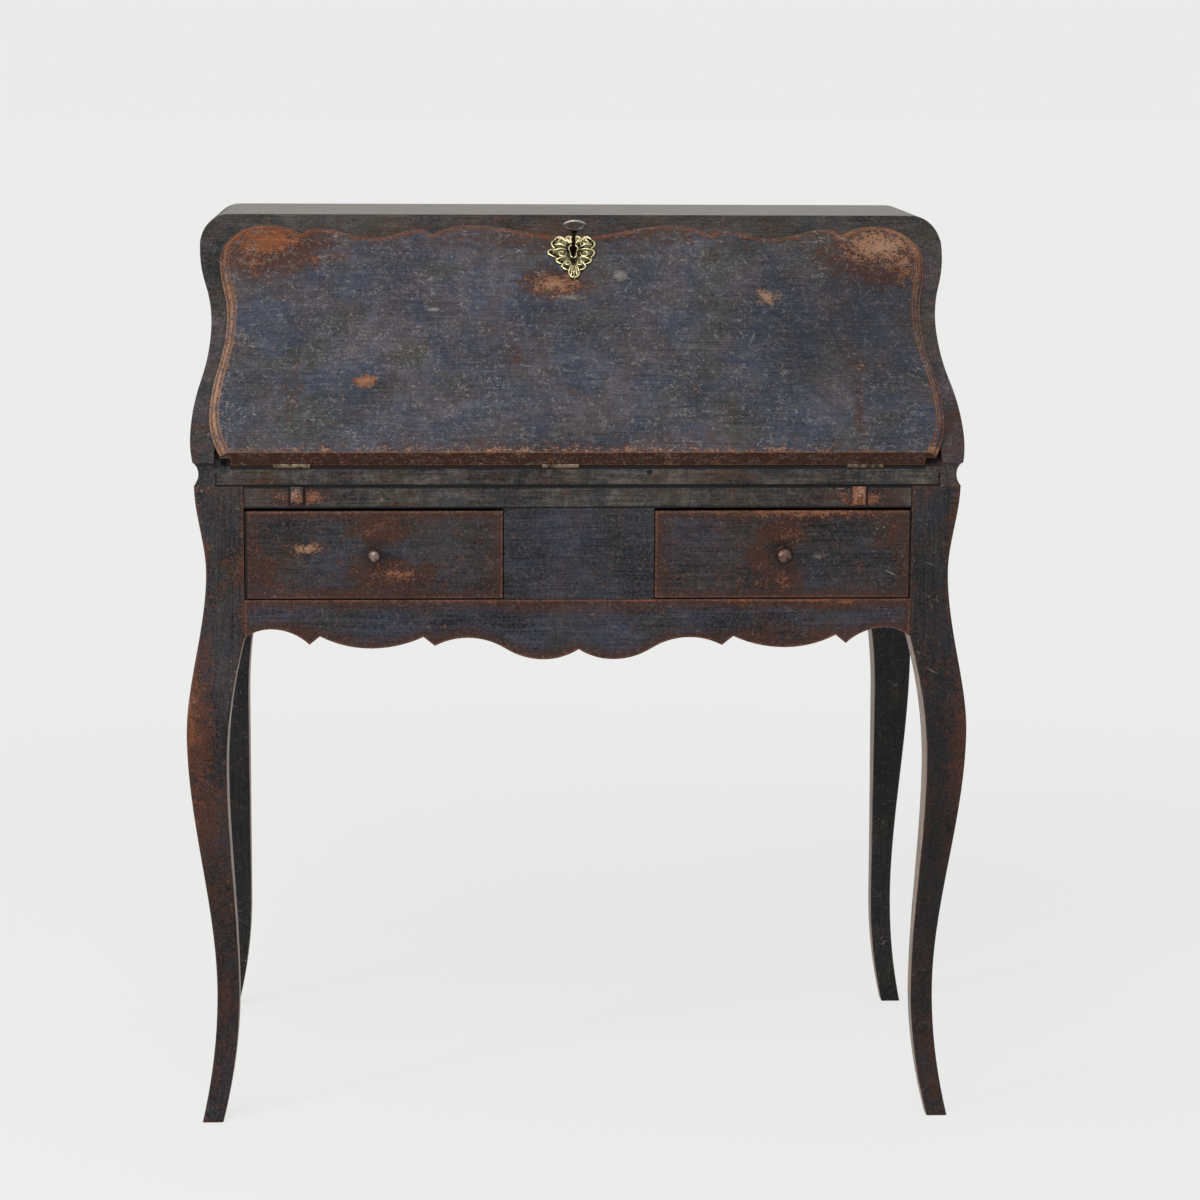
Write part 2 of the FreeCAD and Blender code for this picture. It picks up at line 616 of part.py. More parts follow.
def hinge(x):
    ends = (HINGE_L - 2 * BARREL_GAP) / 3
    left = x - HINGE_L / 2
    along = Vector(1, 0, 0)
    room = BARREL_R + BARREL_GAP
    middle = left + ends + BARREL_GAP
    plate = box(left, left + HINGE_L, 0, LEAF_L, -LEAF_T, 0)
    bore = rod(PIN_R + PIN_PLAY, HINGE_L, Vector(left, 0, 0), along)
    gap = rod(room, ends + 2 * BARREL_GAP, Vector(middle - BARREL_GAP, 0, 0), along)
    outer = [rod(BARREL_R, ends, Vector(at, 0, 0), along) for at in (left, left + HINGE_L - ends)]
    bed = plate.cut(gap).multiFuse(outer).cut(bore).removeSplitter()
    inner = rod(BARREL_R, ends, Vector(middle, 0, 0), along)
    clear = [rod(room, ends + BARREL_GAP, Vector(at, 0, 0), along)
             for at in (left, left + HINGE_L - ends - BARREL_GAP)]
    up = plate.mirror(Vector(0, 0, 0), Vector(0, 0, 1))
    fall = up.cut(clear[0]).cut(clear[1]).fuse(inner).cut(bore).removeSplitter()
    pin = rod(PIN_R, HINGE_L, Vector(left, 0, 0), along)
    spots = [Vector(x + k * HINGE_L / 4, LEAF_L * 0.62, 0) for k in (-1, 1)]
    pocket = box(left, left + HINGE_L, -BARREL_R, LEAF_L, -LEAF_T, LEAF_T)
    notch = rod(room, HINGE_L, Vector(left, 0, 0), along)
    return bed, fall, pin, spots, pocket, notch


def drawer_box(x0, x1, z0, z1, y0, sizes):
    front_t, side_t, bottom_t, depth, groove, lap, side_drop, back_drop, count = sizes
    end = y0 + depth
    floor_z = z0 + groove
    side_top = z1 - side_drop
    tail = front_t - lap
    pitch = (side_top - floor_z - bottom_t) / count
    centres = [floor_z + bottom_t + pitch * (i + 0.5) for i in range(count)]
    inset = side_t - groove
    bottom = box(x0 + inset, x1 - inset, y0 + front_t - groove, end, floor_z, floor_z + bottom_t)
    front = eased(box(x0, x1, y0, y0 + front_t, z0, z1), y0, EDGE_R)
    back = box(x0, x1, end - side_t, end, floor_z + bottom_t, side_top - back_drop)
    sides = []
    for left, right in ((x0, x0 + side_t), (x1 - side_t, x1)):
        body = [box(left, right, y0 + front_t, end - side_t, z0, side_top)]
        for middle in centres:
            narrow = pitch * 0.24
            wide = pitch * 0.24 + tail / 6
            body += [across_x([(y0 + front_t, middle - narrow), (y0 + lap, middle - wide),
                               (y0 + lap, middle + wide), (y0 + front_t, middle + narrow)], left, right)]
            wide = pitch * 0.24 + side_t / 6
            body += [across_x([(end - side_t, middle - narrow), (end, middle - wide),
                               (end, middle + wide), (end - side_t, middle + narrow)], left, right)]
        sides.append(fused(body).cut(bottom))
    front = front.cut(bottom).cut(sides[0]).cut(sides[1])
    back = back.cut(sides[0]).cut(sides[1])
    return front, sides[0], sides[1], back, bottom


def knob_centre(diameter, neck):
    return KNOB_NECK * diameter + math.sqrt(diameter ** 2 / 4 - neck ** 2)


def knob(x, z, y0, thickness, diameter, stem):
    ball = diameter / 2
    neck = stem * KNOB_NECK_R
    reach = KNOB_NECK * diameter
    centre = knob_centre(diameter, neck)
    profile = [line((0, -thickness), (stem, -thickness), xy), line((stem, -thickness), (stem, 0), xy),
               line((stem, 0), (ball * 0.8, 0), xy), line((ball * 0.8, 0), (ball * 0.8, reach * 0.25), xy),
               line((ball * 0.8, reach * 0.25), (neck, reach * 0.5), xy),
               line((neck, reach * 0.5), (neck, reach), xy)]
    profile += [Part.Arc(xy((neck, reach)), xy((ball, centre)), xy((0, centre + ball))).toShape()]
    profile += [line((0, centre + ball), (0, -thickness), xy)]
    turned = Part.Face(Part.Wire(Part.__sortEdges__(profile))).revolve(Vector(0, 0, 0), Vector(0, 1, 0), 360)
    turned.rotate(Vector(0, 0, 0), Vector(0, 0, 1), 180)
    turned.translate(Vector(x, y0, z))
    return turned


# Lower frame
apron_board = apron()
panel = side_panel()
leg = front_leg(ANKLE_IN).cut(apron_board)
middle_y = RAIL_T / 2
rail = eased(box(-STILE_IN, STILE_IN, 0, RAIL_T, RAIL_UNDER, FRAME_H), 0, SEAM_R)
rail_tenon = box(-STILE_IN - TENON_L, STILE_IN + TENON_L, middle_y - TENON_T / 2, middle_y + TENON_T / 2,
                 RAIL_UNDER + RAIL_SHOULDER, FRAME_H - RAIL_SHOULDER)
rail = fused([rail, rail_tenon])
back_low = FRAME_H - LOWER_BACK_H
lower_back = box(-STILE_IN, STILE_IN, LOWER_BACK_Y, CASE_DEPTH, back_low, FRAME_H)
lower_back = eased(lower_back, CASE_DEPTH, EDGE_R)
back_mid = CASE_DEPTH - LOWER_BACK_T / 2
back_tenon = box(-STILE_IN - TENON_L, STILE_IN + TENON_L, back_mid - TENON_T / 2, back_mid + TENON_T / 2,
                 back_low + BACK_SHOULDER, FRAME_H - BACK_SHOULDER)
lower_back = fused([lower_back, back_tenon])
rear_leg = front_leg(REAR_ANKLE_IN).mirror(Vector(0, CASE_DEPTH / 2, 0), Vector(0, 1, 0))
front_right = leg.cut(rail).cut(panel)
rear_right = rear_leg.cut(lower_back).cut(panel)
parts["front_leg_right"] = front_right
parts["front_leg_left"] = mirrored(front_right)
parts["rear_leg_right"] = rear_right
parts["rear_leg_left"] = mirrored(rear_right)
parts["side_panel_right"] = panel
parts["side_panel_left"] = mirrored(panel)
parts["lower_back"] = lower_back

stub = APRON_T / 2
centre = eased(box(-CENTRE_HALF, CENTRE_HALF, 0, APRON_T, DRAWER_FLOOR, RAIL_UNDER), 0, SEAM_R)
stub_half = CENTRE_HALF - CENTRE_SHOULDER
centre_stub = box(-stub_half, stub_half, stub - TENON_T / 2, stub + TENON_T / 2,
                  DRAWER_FLOOR - TENON_L / 2, RAIL_UNDER + TENON_L / 2)
centre = fused([centre, centre_stub])
parts["centre_panel"] = centre
parts["front_apron"] = apron_board.cut(centre)

# Lopers, their guides and the notches of the rail
loper_z = FRAME_H - LOPER_TOP_GAP - LOPER_H
half_notch = LOPER_W / 2 + LOPER_SIDE_GAP
notch = box(LOPER_X - half_notch, LOPER_X + half_notch, 0, GUIDE_END, loper_z, FRAME_H)
parts["front_rail"] = rail.cut(centre).cut(notch).cut(mirrored(notch))
peg_y = LOPER_END - PEG_IN
peg_room = PEG_D / 2 + PEG_GAP
slot = box(LOPER_X - peg_room, LOPER_X + peg_room, peg_y - LOPER_TRAVEL - peg_room, peg_y + peg_room,
           0, loper_z)
guide = box(LOPER_X - half_notch - GUIDE_WALL, LOPER_X + half_notch + GUIDE_WALL, RAIL_T, GUIDE_END,
            RAIL_UNDER, FRAME_H)
guide = guide.cut(notch).cut(slot)
loper = box(LOPER_X - LOPER_W / 2, LOPER_X + LOPER_W / 2, -LOPER_PROUD, LOPER_END, loper_z,
            loper_z + LOPER_H)
tip = Part.makeWedge(-LOPER_W / 2, 0, -LOPER_H / 2, -PULL_R, -PULL_R, LOPER_W / 2, LOPER_POINT, LOPER_H / 2,
                     PULL_R, PULL_R)
tip.rotate(Vector(0, 0, 0), Vector(0, 0, 1), 180)
tip.translate(Vector(LOPER_X, -LOPER_PROUD, loper_z + LOPER_H / 2))
loper_face = -LOPER_PROUD - LOPER_POINT
pull_at = Vector(LOPER_X, loper_face, loper_z + LOPER_H / 2)
pull_head = Part.makeSphere(PULL_R, pull_at).common(box(0, OUT, loper_face - PULL_R, loper_face, 0, FRAME_H))
pull = fused([pull_head, rod(PULL_R / 2, PULL_PIN_L, pull_at, Vector(0, 1, 0))])
peg = rod(PEG_D / 2, LOPER_H * 0.6 + PEG_DROP, Vector(LOPER_X, peg_y, loper_z - PEG_DROP), Vector(0, 0, 1))
loper = fused([loper, tip]).cut(pull).cut(peg)
for name, piece in (("loper_guide", guide), ("loper", loper), ("loper_pull", pull), ("loper_stop", peg)):
    parts[name + "_right"] = piece
    parts[name + "_left"] = mirrored(piece)

# Drawers and runners
left_x = CENTRE_HALF + DRAWER_GAP
right_x = STILE_IN - DRAWER_GAP
main_sizes = (DRAWER_FRONT_T, DRAWER_SIDE_T, DRAWER_BOTTOM_T, DRAWER_DEPTH, GROOVE, TAIL_LAP,
              DRAWER_SIDE_DROP, DRAWER_BACK_DROP, 3)
names = ("front", "side_inner", "side_outer", "back", "bottom")
drawer = drawer_box(left_x, right_x, RUN_Z, RAIL_UNDER - DRAWER_TOP_GAP, 0, main_sizes)
knob_x = (left_x + right_x) / 2
knob_z = (RUN_Z + RAIL_UNDER) / 2
for side, diameter in (("right", KNOB_D_RIGHT), ("left", KNOB_D_LEFT)):
    handle = knob(knob_x, knob_z, 0, DRAWER_FRONT_T, diameter, KNOB_STEM_R)
    for name, piece in zip(names, drawer):
        whole = piece.cut(handle) if name == "front" else piece
        parts["drawer_" + side + "_" + name] = whole if side == "right" else mirrored(whole)
    parts["drawer_" + side + "_knob"] = handle if side == "right" else mirrored(handle)

ledge = box(STILE_IN - DRAWER_GAP - RUNNER_W, STILE_IN, APRON_T, LOWER_BACK_Y, RUN_Z - RUNNER_T, RUN_Z)
wall = box(STILE_IN, PANEL_IN, STILE_D, CASE_DEPTH - STILE_D, RUN_Z - RUNNER_T, RUN_Z + FENCE_H)
outer_runner = fused([ledge, wall])
inner_ledge = box(CENTRE_HALF - RUNNER_T, left_x + RUNNER_W, APRON_T, LOWER_BACK_Y, RUN_Z - RUNNER_T, RUN_Z)
inner_wall = box(CENTRE_HALF - RUNNER_T, CENTRE_HALF, APRON_T, LOWER_BACK_Y, RUN_Z, RUN_Z + FENCE_H)
inner_runner = fused([inner_ledge, inner_wall])
runners = Part.makeCompound([outer_runner, inner_runner])
parts["drawer_runners_right"] = runners
parts["drawer_runners_left"] = mirrored(runners)

# Upper case
side = upper_side()
parts["upper_side_right"] = side
parts["upper_side_left"] = mirrored(side)
parts["top_board"] = top_board()
back_half = SIDE_IN + BACK_HOUSING
back_cuts = [FRAME_H + i * (TOP_UNDER - FRAME_H) / 2 for i in range(3)]
parts["upper_back"] = Part.makeCompound([
    eased(box(-back_half, back_half, CASE_INSIDE_BACK, CASE_DEPTH, low, high), CASE_DEPTH, EDGE_R)
    for low, high in zip(back_cuts, back_cuts[1:])])
bed = eased(box(-BED_HALF, BED_HALF, 0, CASE_INSIDE_BACK, FRAME_H, BED_TOP), 0, EDGE_R)

# Fall with its lock and key
fall = fall_board()
lock_case, lock_hollow = lock()
bolt_x = (BIT_REACH + BOLT_OFF, BIT_REACH + BOLT_OFF + BOLT_W)
bolt_z = (LOCK_T / 2 - BOLT_T / 2, LOCK_T / 2 + BOLT_T / 2)
bolt = box(bolt_x[0], bolt_x[1], TONGUE_TOP - BOLT_L, TONGUE_TOP, bolt_z[0], bolt_z[1])
bolt_way = box(bolt_x[0] - BOLT_PLAY, bolt_x[1] + BOLT_PLAY,
               TONGUE_TOP - LOCK_H / 2, TONGUE_TOP + BOLT_TRAVEL + BOLT_OVERRUN,
               bolt_z[0] - BOLT_PLAY, bolt_z[1] + BOLT_PLAY)
outward = Vector(0, 0, 1)
key_way = rod(KEY_R + KEY_PLAY, LOCK_T, Vector(0, KEY_UP, LOCK_WALL), outward)
lock_spots = [Vector(k * (LOCK_W / 2 + LOCK_EAR / 2), TONGUE_TOP - LOCK_H / 2, 0) for k in (-1, 1)]
lock_screws = [screw(at, outward) for at in lock_spots]
fall = fall.cut(lock_case).cut(keyhole(LOCK_T, 2 * FALL_T))
bit_slot = box(-HOLE_SLOT_W / 2, HOLE_SLOT_W / 2, KEY_UP - HOLE_SLOT_L, KEY_UP, LOCK_T - LOCK_WALL, LOCK_T)
lock_case = lock_case.cut(lock_hollow).cut(bolt_way).cut(key_way).cut(bit_slot)
for each in lock_screws:
    lock_case = lock_case.cut(each)
    fall = fall.cut(each)

shank_end = FALL_T + KEY_OUT
shank = rod(KEY_R, shank_end - LOCK_WALL, Vector(0, KEY_UP, LOCK_WALL), outward)
collar = rod(KEY_R * 1.5, COLLAR_L, Vector(0, KEY_UP, shank_end - COLLAR_IN), outward)
bit_low = LOCK_WALL + BIT_GAP
bit = box(-BIT_REACH, 0, KEY_UP - BIT_T / 2, KEY_UP + BIT_T / 2, bit_low, bit_low + BIT_L)
bow_at = Vector(0, KEY_UP + BOW_T / 2, shank_end + BOW_H / 2 - BOW_SINK)


def oval(width, height):
    ring = Part.Ellipse(Vector(0, 0, 0), width / 2, height / 2).toShape()
    face = Part.Face(Part.Wire([ring]))
    face.rotate(Vector(0, 0, 0), Vector(1, 0, 0), 90)
    face.translate(bow_at)
    return face.extrude(Vector(0, -BOW_T, 0))


bow = oval(BOW_W, BOW_H).cut(oval(BOW_W - 2 * BOW_RIM, BOW_H - 2 * BOW_RIM))
bow = bow.makeFillet(BOW_T / 3, [e for e in bow.Edges if e.Length > BOW_H])
key = fused([shank, collar, bit, bow])

# Escutcheon: lobes about the keyhole, from the top round to the tip; the left one has an ear
right_lobes = [((0, 17), (5, 19.5), (10, 16)), ((10, 16), (16.5, 19), (22, 14)),
               ((22, 14), (25.5, 8), (21, 1)), ((21, 1), (24.5, -6), (20, -13)),
               ((20, -13), (19.5, -19.5), (13, -23)),
               ((13, -23), (12, -29.5), (6, -32)), ((6, -32), (5, -40), (0, -44))]
left_lobes = right_lobes[:3] + [((21, 1), (30, -5), (20, -13))] + right_lobes[4:]
plate_edges = arc_edges(right_lobes + flipped(left_lobes), slope_plane(FALL_T))
plate = prism(plate_edges, Vector(0, 0, ESCUTCHEON_T))
plate.translate(Vector(0, KEY_UP, 0))
tack_spots = [(13, 14), (-13, 14), (0, -34)]
plate_pins = []
for px, py in tack_spots:
    foot = Vector(px, KEY_UP + py, FALL_T + ESCUTCHEON_T)
    above = box(-LOCK_W, LOCK_W, 0, 2 * KEY_UP, foot.z, foot.z + 2 * TACK_HEAD_R)
    dome = Part.makeSphere(TACK_HEAD_R, foot).common(above)
    plate_pins.append(fused([dome, rod(TACK_R, TACK_L, foot, Vector(0, 0, -1))]))
plate = plate.cut(keyhole(FALL_T, FALL_T + 2 * ESCUTCHEON_T))
for each in plate_pins:
    plate = plate.cut(each)
    fall = fall.cut(each)

# Hinges on the line between bed and fall
bed_leaves, fall_leaves, pins, bed_screws, fall_screws = [], [], [], [], []
to_bed = Vector(0, 0, BED_TOP)
for x in HINGE_X:
    leaf, flap, pin, spots, pocket, barrel_room = hinge(x)
    own = [screw(at, Vector(0, 0, -1)) for at in spots]
    for each in own:
        leaf = leaf.cut(each)
    for shape in [leaf, pin] + own:
        shape.translate(to_bed)
    room = pocket.fuse(barrel_room)
    fall = fall.cut(room)
    room.translate(to_bed)
    bed = bed.cut(room)
    for each in own:
        bed = bed.cut(each)
    bed_leaves.append(leaf)
    pins.append(pin)
    bed_screws += own
    own = [screw(at, outward) for at in spots]
    for each in own:
        flap = flap.cut(each)
        fall = fall.cut(each)
    fall_leaves.append(flap)
    fall_screws += own

parts["writing_bed"] = bed
parts["hinge_bed_leaves"] = Part.makeCompound(bed_leaves)
parts["hinge_pins"] = Part.makeCompound(pins)
parts["hinge_bed_screws"] = Part.makeCompound(bed_screws)
parts["fall_board"] = on_slope(fall)
parts["hinge_fall_leaves"] = on_slope(Part.makeCompound(fall_leaves))
parts["hinge_fall_screws"] = on_slope(Part.makeCompound(fall_screws))
parts["lock_case"] = on_slope(lock_case)
parts["lock_screws"] = on_slope(Part.makeCompound(lock_screws))
parts["lock_bolt"] = on_slope(bolt)
parts["key"] = on_slope(key)
parts["escutcheon"] = on_slope(plate)
parts["escutcheon_pins"] = on_slope(Part.makeCompound(plate_pins))

# Lock rail under the top, with the strike plate let into its lower face
inner_low = slope_point(RAIL_UP, -LOCK_RAIL_D)
inner_high = (inner_low[0] + (TOP_UNDER - inner_low[1]) / math.tan(SLOPE), TOP_UNDER)
lock_rail = across_x([(band_y(TOP_UNDER), TOP_UNDER), slope_point(RAIL_UP, BAND), inner_low, inner_high],
                     -SIDE_IN, SIDE_IN)
strike_x = (bolt_x[0] + bolt_x[1]) / 2
strike = box(strike_x - STRIKE_W / 2, strike_x + STRIKE_W / 2, RAIL_UP, RAIL_UP + STRIKE_T,
             STRIKE_IN, BAND - STRIKE_IN)
parts["lock_rail"] = lock_rail.cut(on_slope(strike)).cut(on_slope(bolt_way))
parts["strike_plate"] = on_slope(strike.cut(bolt_way))

# Inside fittings
fit_front = CASE_INSIDE_BACK - FITTING_D
shelf_z = BED_TOP + NICHE_H
parts["inside_shelf"] = box(-SIDE_IN, SIDE_IN, fit_front, CASE_INSIDE_BACK, shelf_z, shelf_z + FITTING_T)
upright = box(NICHE_W / 2, NICHE_W / 2 + FITTING_T, fit_front, CASE_INSIDE_BACK, BED_TOP, shelf_z)
parts["inside_partition_right"] = upright
parts["inside_partition_left"] = mirrored(upright)
small_sizes = (SMALL_FRONT_T, SMALL_SIDE_T, SMALL_BOTTOM_T, SMALL_DEPTH, SMALL_GROOVE, SMALL_LAP,
               SMALL_DROP, SMALL_DROP, 2)
half_small = NICHE_W / 2 - SMALL_GAP
small_y = fit_front + SMALL_SET_BACK
small = drawer_box(-half_small, half_small, BED_TOP, shelf_z - SMALL_GAP * 2, small_y, small_sizes)
small_knob = knob(0, BED_TOP + NICHE_H / 2, small_y, SMALL_FRONT_T, SMALL_KNOB_D, KNOB_STEM_R * 0.7)
for name, piece in zip(("front", "side_left", "side_right", "back", "bottom"), small):
    parts["inside_drawer_" + name] = piece.cut(small_knob) if name == "front" else piece
parts["inside_drawer_knob"] = small_knob

largest = max(KNOB_D_LEFT, KNOB_D_RIGHT)
knob_reach = knob_centre(largest, KNOB_STEM_R * KNOB_NECK_R) + largest / 2
origin_y = (CASE_DEPTH + KNEE_FRONT - knob_reach) / 2
os.makedirs("parts", exist_ok=True)
for name, shape in parts.items():
    placed = shape.copy()
    placed.translate(Vector(0, -origin_y, 0))
    placed.exportStep("parts/" + name + ".step")
print(len(parts), "nodes", sum(len(s.Solids) for s in parts.values()), "solids")
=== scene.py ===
import math

import bmesh
import bpy
from mathutils import Matrix, Vector


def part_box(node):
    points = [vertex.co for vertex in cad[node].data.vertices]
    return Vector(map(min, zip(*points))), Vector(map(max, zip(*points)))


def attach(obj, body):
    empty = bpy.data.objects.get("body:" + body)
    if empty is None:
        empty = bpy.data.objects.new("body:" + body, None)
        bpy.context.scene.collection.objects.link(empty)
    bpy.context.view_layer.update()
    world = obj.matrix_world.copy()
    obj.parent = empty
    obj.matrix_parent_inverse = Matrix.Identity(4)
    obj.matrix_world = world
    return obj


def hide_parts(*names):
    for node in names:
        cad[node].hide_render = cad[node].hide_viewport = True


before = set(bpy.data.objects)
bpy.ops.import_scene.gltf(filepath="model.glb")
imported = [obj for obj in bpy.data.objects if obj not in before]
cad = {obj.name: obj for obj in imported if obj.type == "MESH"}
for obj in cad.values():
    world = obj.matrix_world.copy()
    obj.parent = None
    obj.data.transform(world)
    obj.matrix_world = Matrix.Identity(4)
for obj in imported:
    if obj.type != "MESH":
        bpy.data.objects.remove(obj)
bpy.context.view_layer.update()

mm = 0.001
far = 4000  # half length in mm of marks that run from end to end
pinLow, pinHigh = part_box("hinge_pins")
hingeLine = Vector((0.0, (pinLow.y + pinHigh.y) / 2, (pinLow.z + pinHigh.z) / 2))
fallTilt = 45.0
fallTurn = Matrix.Rotation(math.radians(fallTilt), 4, "X")
fallOut = fallTurn @ Vector((0.0, 0.0, 1.0))
print("frame loaded:", len(cad), "pieces")

# settings that many nodes share
rgba = {"take": 2, "data_type": "RGBA"}
dot = {"take": "Value", "operation": "DOT_PRODUCT"}


def linear(hexColour):
    # sRGB hex to linear RGBA
    channels = [int(hexColour[i:i + 2], 16) / 255 for i in (1, 3, 5)]
    return tuple(c / 12.92 if c <= 0.04045 else ((c + 0.055) / 1.055) ** 2.4 for c in channels) + (1.0,)


def perMetre(size):
    # texture scale for a feature of that real size in mm
    return 1000.0 / size


def put(tree, kind, inputs=None, take=0, **settings):
    # adds one node with its settings, values and links, gives back one output
    made = tree.nodes.new("ShaderNode" + kind)
    for key, value in settings.items():
        setattr(made, key, value)
    for key, value in (inputs or {}).items():
        if isinstance(value, bpy.types.NodeSocket):
            tree.links.new(value, made.inputs[key])
        else:
            made.inputs[key].default_value = value
    return made.outputs[take] if made.outputs else None


def newMaterial(name):
    material = bpy.data.materials.new(name)
    material.use_nodes = True
    material.node_tree.nodes.clear()
    return material, material.node_tree


def dress(material, *names):
    for name in names:
        cad[name].data.materials.clear()
        cad[name].data.materials.append(material)


def spread(tree, spots, local):
    # soft ovals at chosen places: across, up, half width, half height in mm, turn in degrees, strength
    depth = 1000.0  # in m, so that an oval goes through the piece
    total = 0.0
    for across, up, wide, high, turn, strength in spots:
        placed = put(tree, "Mapping", {
            "Vector": local, "Location": (across * mm, up * mm, 0.0),
            "Rotation": (0.0, 0.0, math.radians(turn)), "Scale": (wide * mm, high * mm, depth)},
            vector_type="TEXTURE")
        oval = put(tree, "TexGradient", {"Vector": placed}, take="Fac", gradient_type="SPHERICAL")
        oval = put(tree, "Math", {0: oval, 1: strength}, operation="MULTIPLY")
        total = put(tree, "Math", {0: total, 1: oval}, operation="MAXIMUM")
    return total


def streaks(tree, local, size):
    # noise drawn out along the grain: size in mm across, up, out
    drawn = put(tree, "VectorMath", {0: local, 1: tuple(perMetre(s) for s in size)}, operation="MULTIPLY")
    return put(tree, "TexNoise", {"Vector": drawn, "Scale": 1.0, "Detail": 4.0, "Roughness": 0.6})


# where a noise or an angle begins to tell, where it tells in full, and how much at most
cuts = {
    "plum": (0.44, 0.58, 1.0), "olive": (0.48, 0.66, 1.0), "haze": (0.44, 0.72, 1.0),
    "thin": (0.40, 0.70, 1.0), "ground": (0.28, 0.80, 0.9), "bare": (0.36, 0.80, 1.0),
    "chalk": (0.32, 0.85, 0.6), "dark": (0.0, 0.35, 1.0), "scratch": (0.52, 0.62, 1.0),
    "grain": (0.28, 0.72, 1.0), "plain": (0.22, 0.78, 1.0), "dustAndSheenFilm": (0.30, 0.70, 1.0),
    "arris": (0.985, 0.80, 1.0), "moulding": (0.9992, 0.994, 1.0), "outward": (0.03, 0.20, 1.0),
    "edgewise": (0.30, 0.10, 0.95), "inside": (0.70, 0.85, 1.0), "level": (0.90, 0.99, 1.0),
}
span = {key: {"From Min": low, "From Max": high, "To Max": most} for key, (low, high, most) in cuts.items()}


def scratches(tree, local, turn, length, gap, width):
    # thin broken lines in one direction, sizes in mm: the middle line of a drawn-out noise, cut by another
    lineShare = 0.14  # of the noise's swing that a width equal to the gap takes up
    turned = put(tree, "VectorRotate", {"Vector": local, "Angle": math.radians(turn)}, rotation_type="Z_AXIS")
    drawn = put(tree, "VectorMath", {0: turned, 1: (perMetre(length), perMetre(gap), perMetre(gap))},
                operation="MULTIPLY")
    wave = put(tree, "TexNoise", {"Vector": drawn, "Scale": 1.0, "Detail": 2.0, "Roughness": 0.4})
    off = put(tree, "Math", {0: wave, 1: 0.5}, operation="SUBTRACT")
    off = put(tree, "Math", {0: off}, operation="ABSOLUTE")
    thin = put(tree, "MapRange", {"Value": off, "From Min": 0.0, "From Max": width / gap * lineShare,
                                  "To Min": 1.0, "To Max": 0.0})
    cut = put(tree, "TexNoise", {"Vector": turned, "Scale": perMetre(length * 0.45), "Detail": 2.0})
    cut = put(tree, "MapRange", {"Value": cut, **span["scratch"]})
    return put(tree, "Math", {0: thin, 1: cut}, operation="MULTIPLY")


# Milk paint on pine: a chalky blue-black coat brushed both ways over a red-brown ground, waxed, rubbed through.
# The eye sees a dull satin dark with clouds of blue, plum and olive, worn red-brown margins, orange arrises,
# and a sprinkling of short pale marks. Sizes are in mm. Brush lines and hair scratches are drawn wider than real
# ones, which would be too fine to show.
paint = {
    "blue": "#23262f", "plum": "#2a2529", "olive": "#26261e", "haze": "#43434b",
    "oliveShare": 0.55, "hazeShare": 0.45, "ground": "#482716", "groundDark": "#20110b",
    # gap: the near-black of the dark places, dirt and painted shade in gaps and seams
    "woodDark": "#4f2b18", "woodLight": "#915734", "tan": "#94775f", "pale": "#7d7873", "gap": "#080707",
    "insideTone": "#5b3f2a", "dustAndSheenTone": "#94826a",
    "hueSize": 46.0, "cloudSize": 85.0, "veilSize": 15.0, "blotchSize": 11.0, "clusterSize": 28.0,
    "fleckSize": 3.4, "fineSize": 2.6, "grain": (48.0, 2.2, 2.2),
    "hairs": ((14, 20.0), (96, 16.0), (-48, 13.0)), "hairGap": 8.0, "hairWide": 1.1,
    "weave": 0.3, "cloudy": 0.9, "deep": 0.30, "light": 1.65, "swing": 0.36,
    "grit": 1.7, "chalkGrit": 0.8, "thin": 0.25, "scratch": 0.32,
    "speck": 0.30, "clustered": 0.6, "fleckBegin": 1.06, "fleckSoft": 0.1, "fleckMost": 0.65,
    "edge": 3.0, "edgeWear": 0.8, "edgeBand": 9.0, "bandWear": 0.65,
    "bare": [], "rubbed": [], "tanned": [], "chalky": [], "dark": [],
    "field": None, "fieldWear": 0.0, "dustAndSheen": 0.0, "insides": [], "inward": False,
    "tilt": 90.0, "pivot": (0.0, 0.0, 0.0),
    "roughness": 0.46, "roughSwing": 0.22, "bareRough": 0.12, "polish": 0.08, "specular": 0.22,
    "strokeRelief": 0.3, "coatRelief": 0.7, "relief": 0.28, "reliefDepth": 0.5,
}


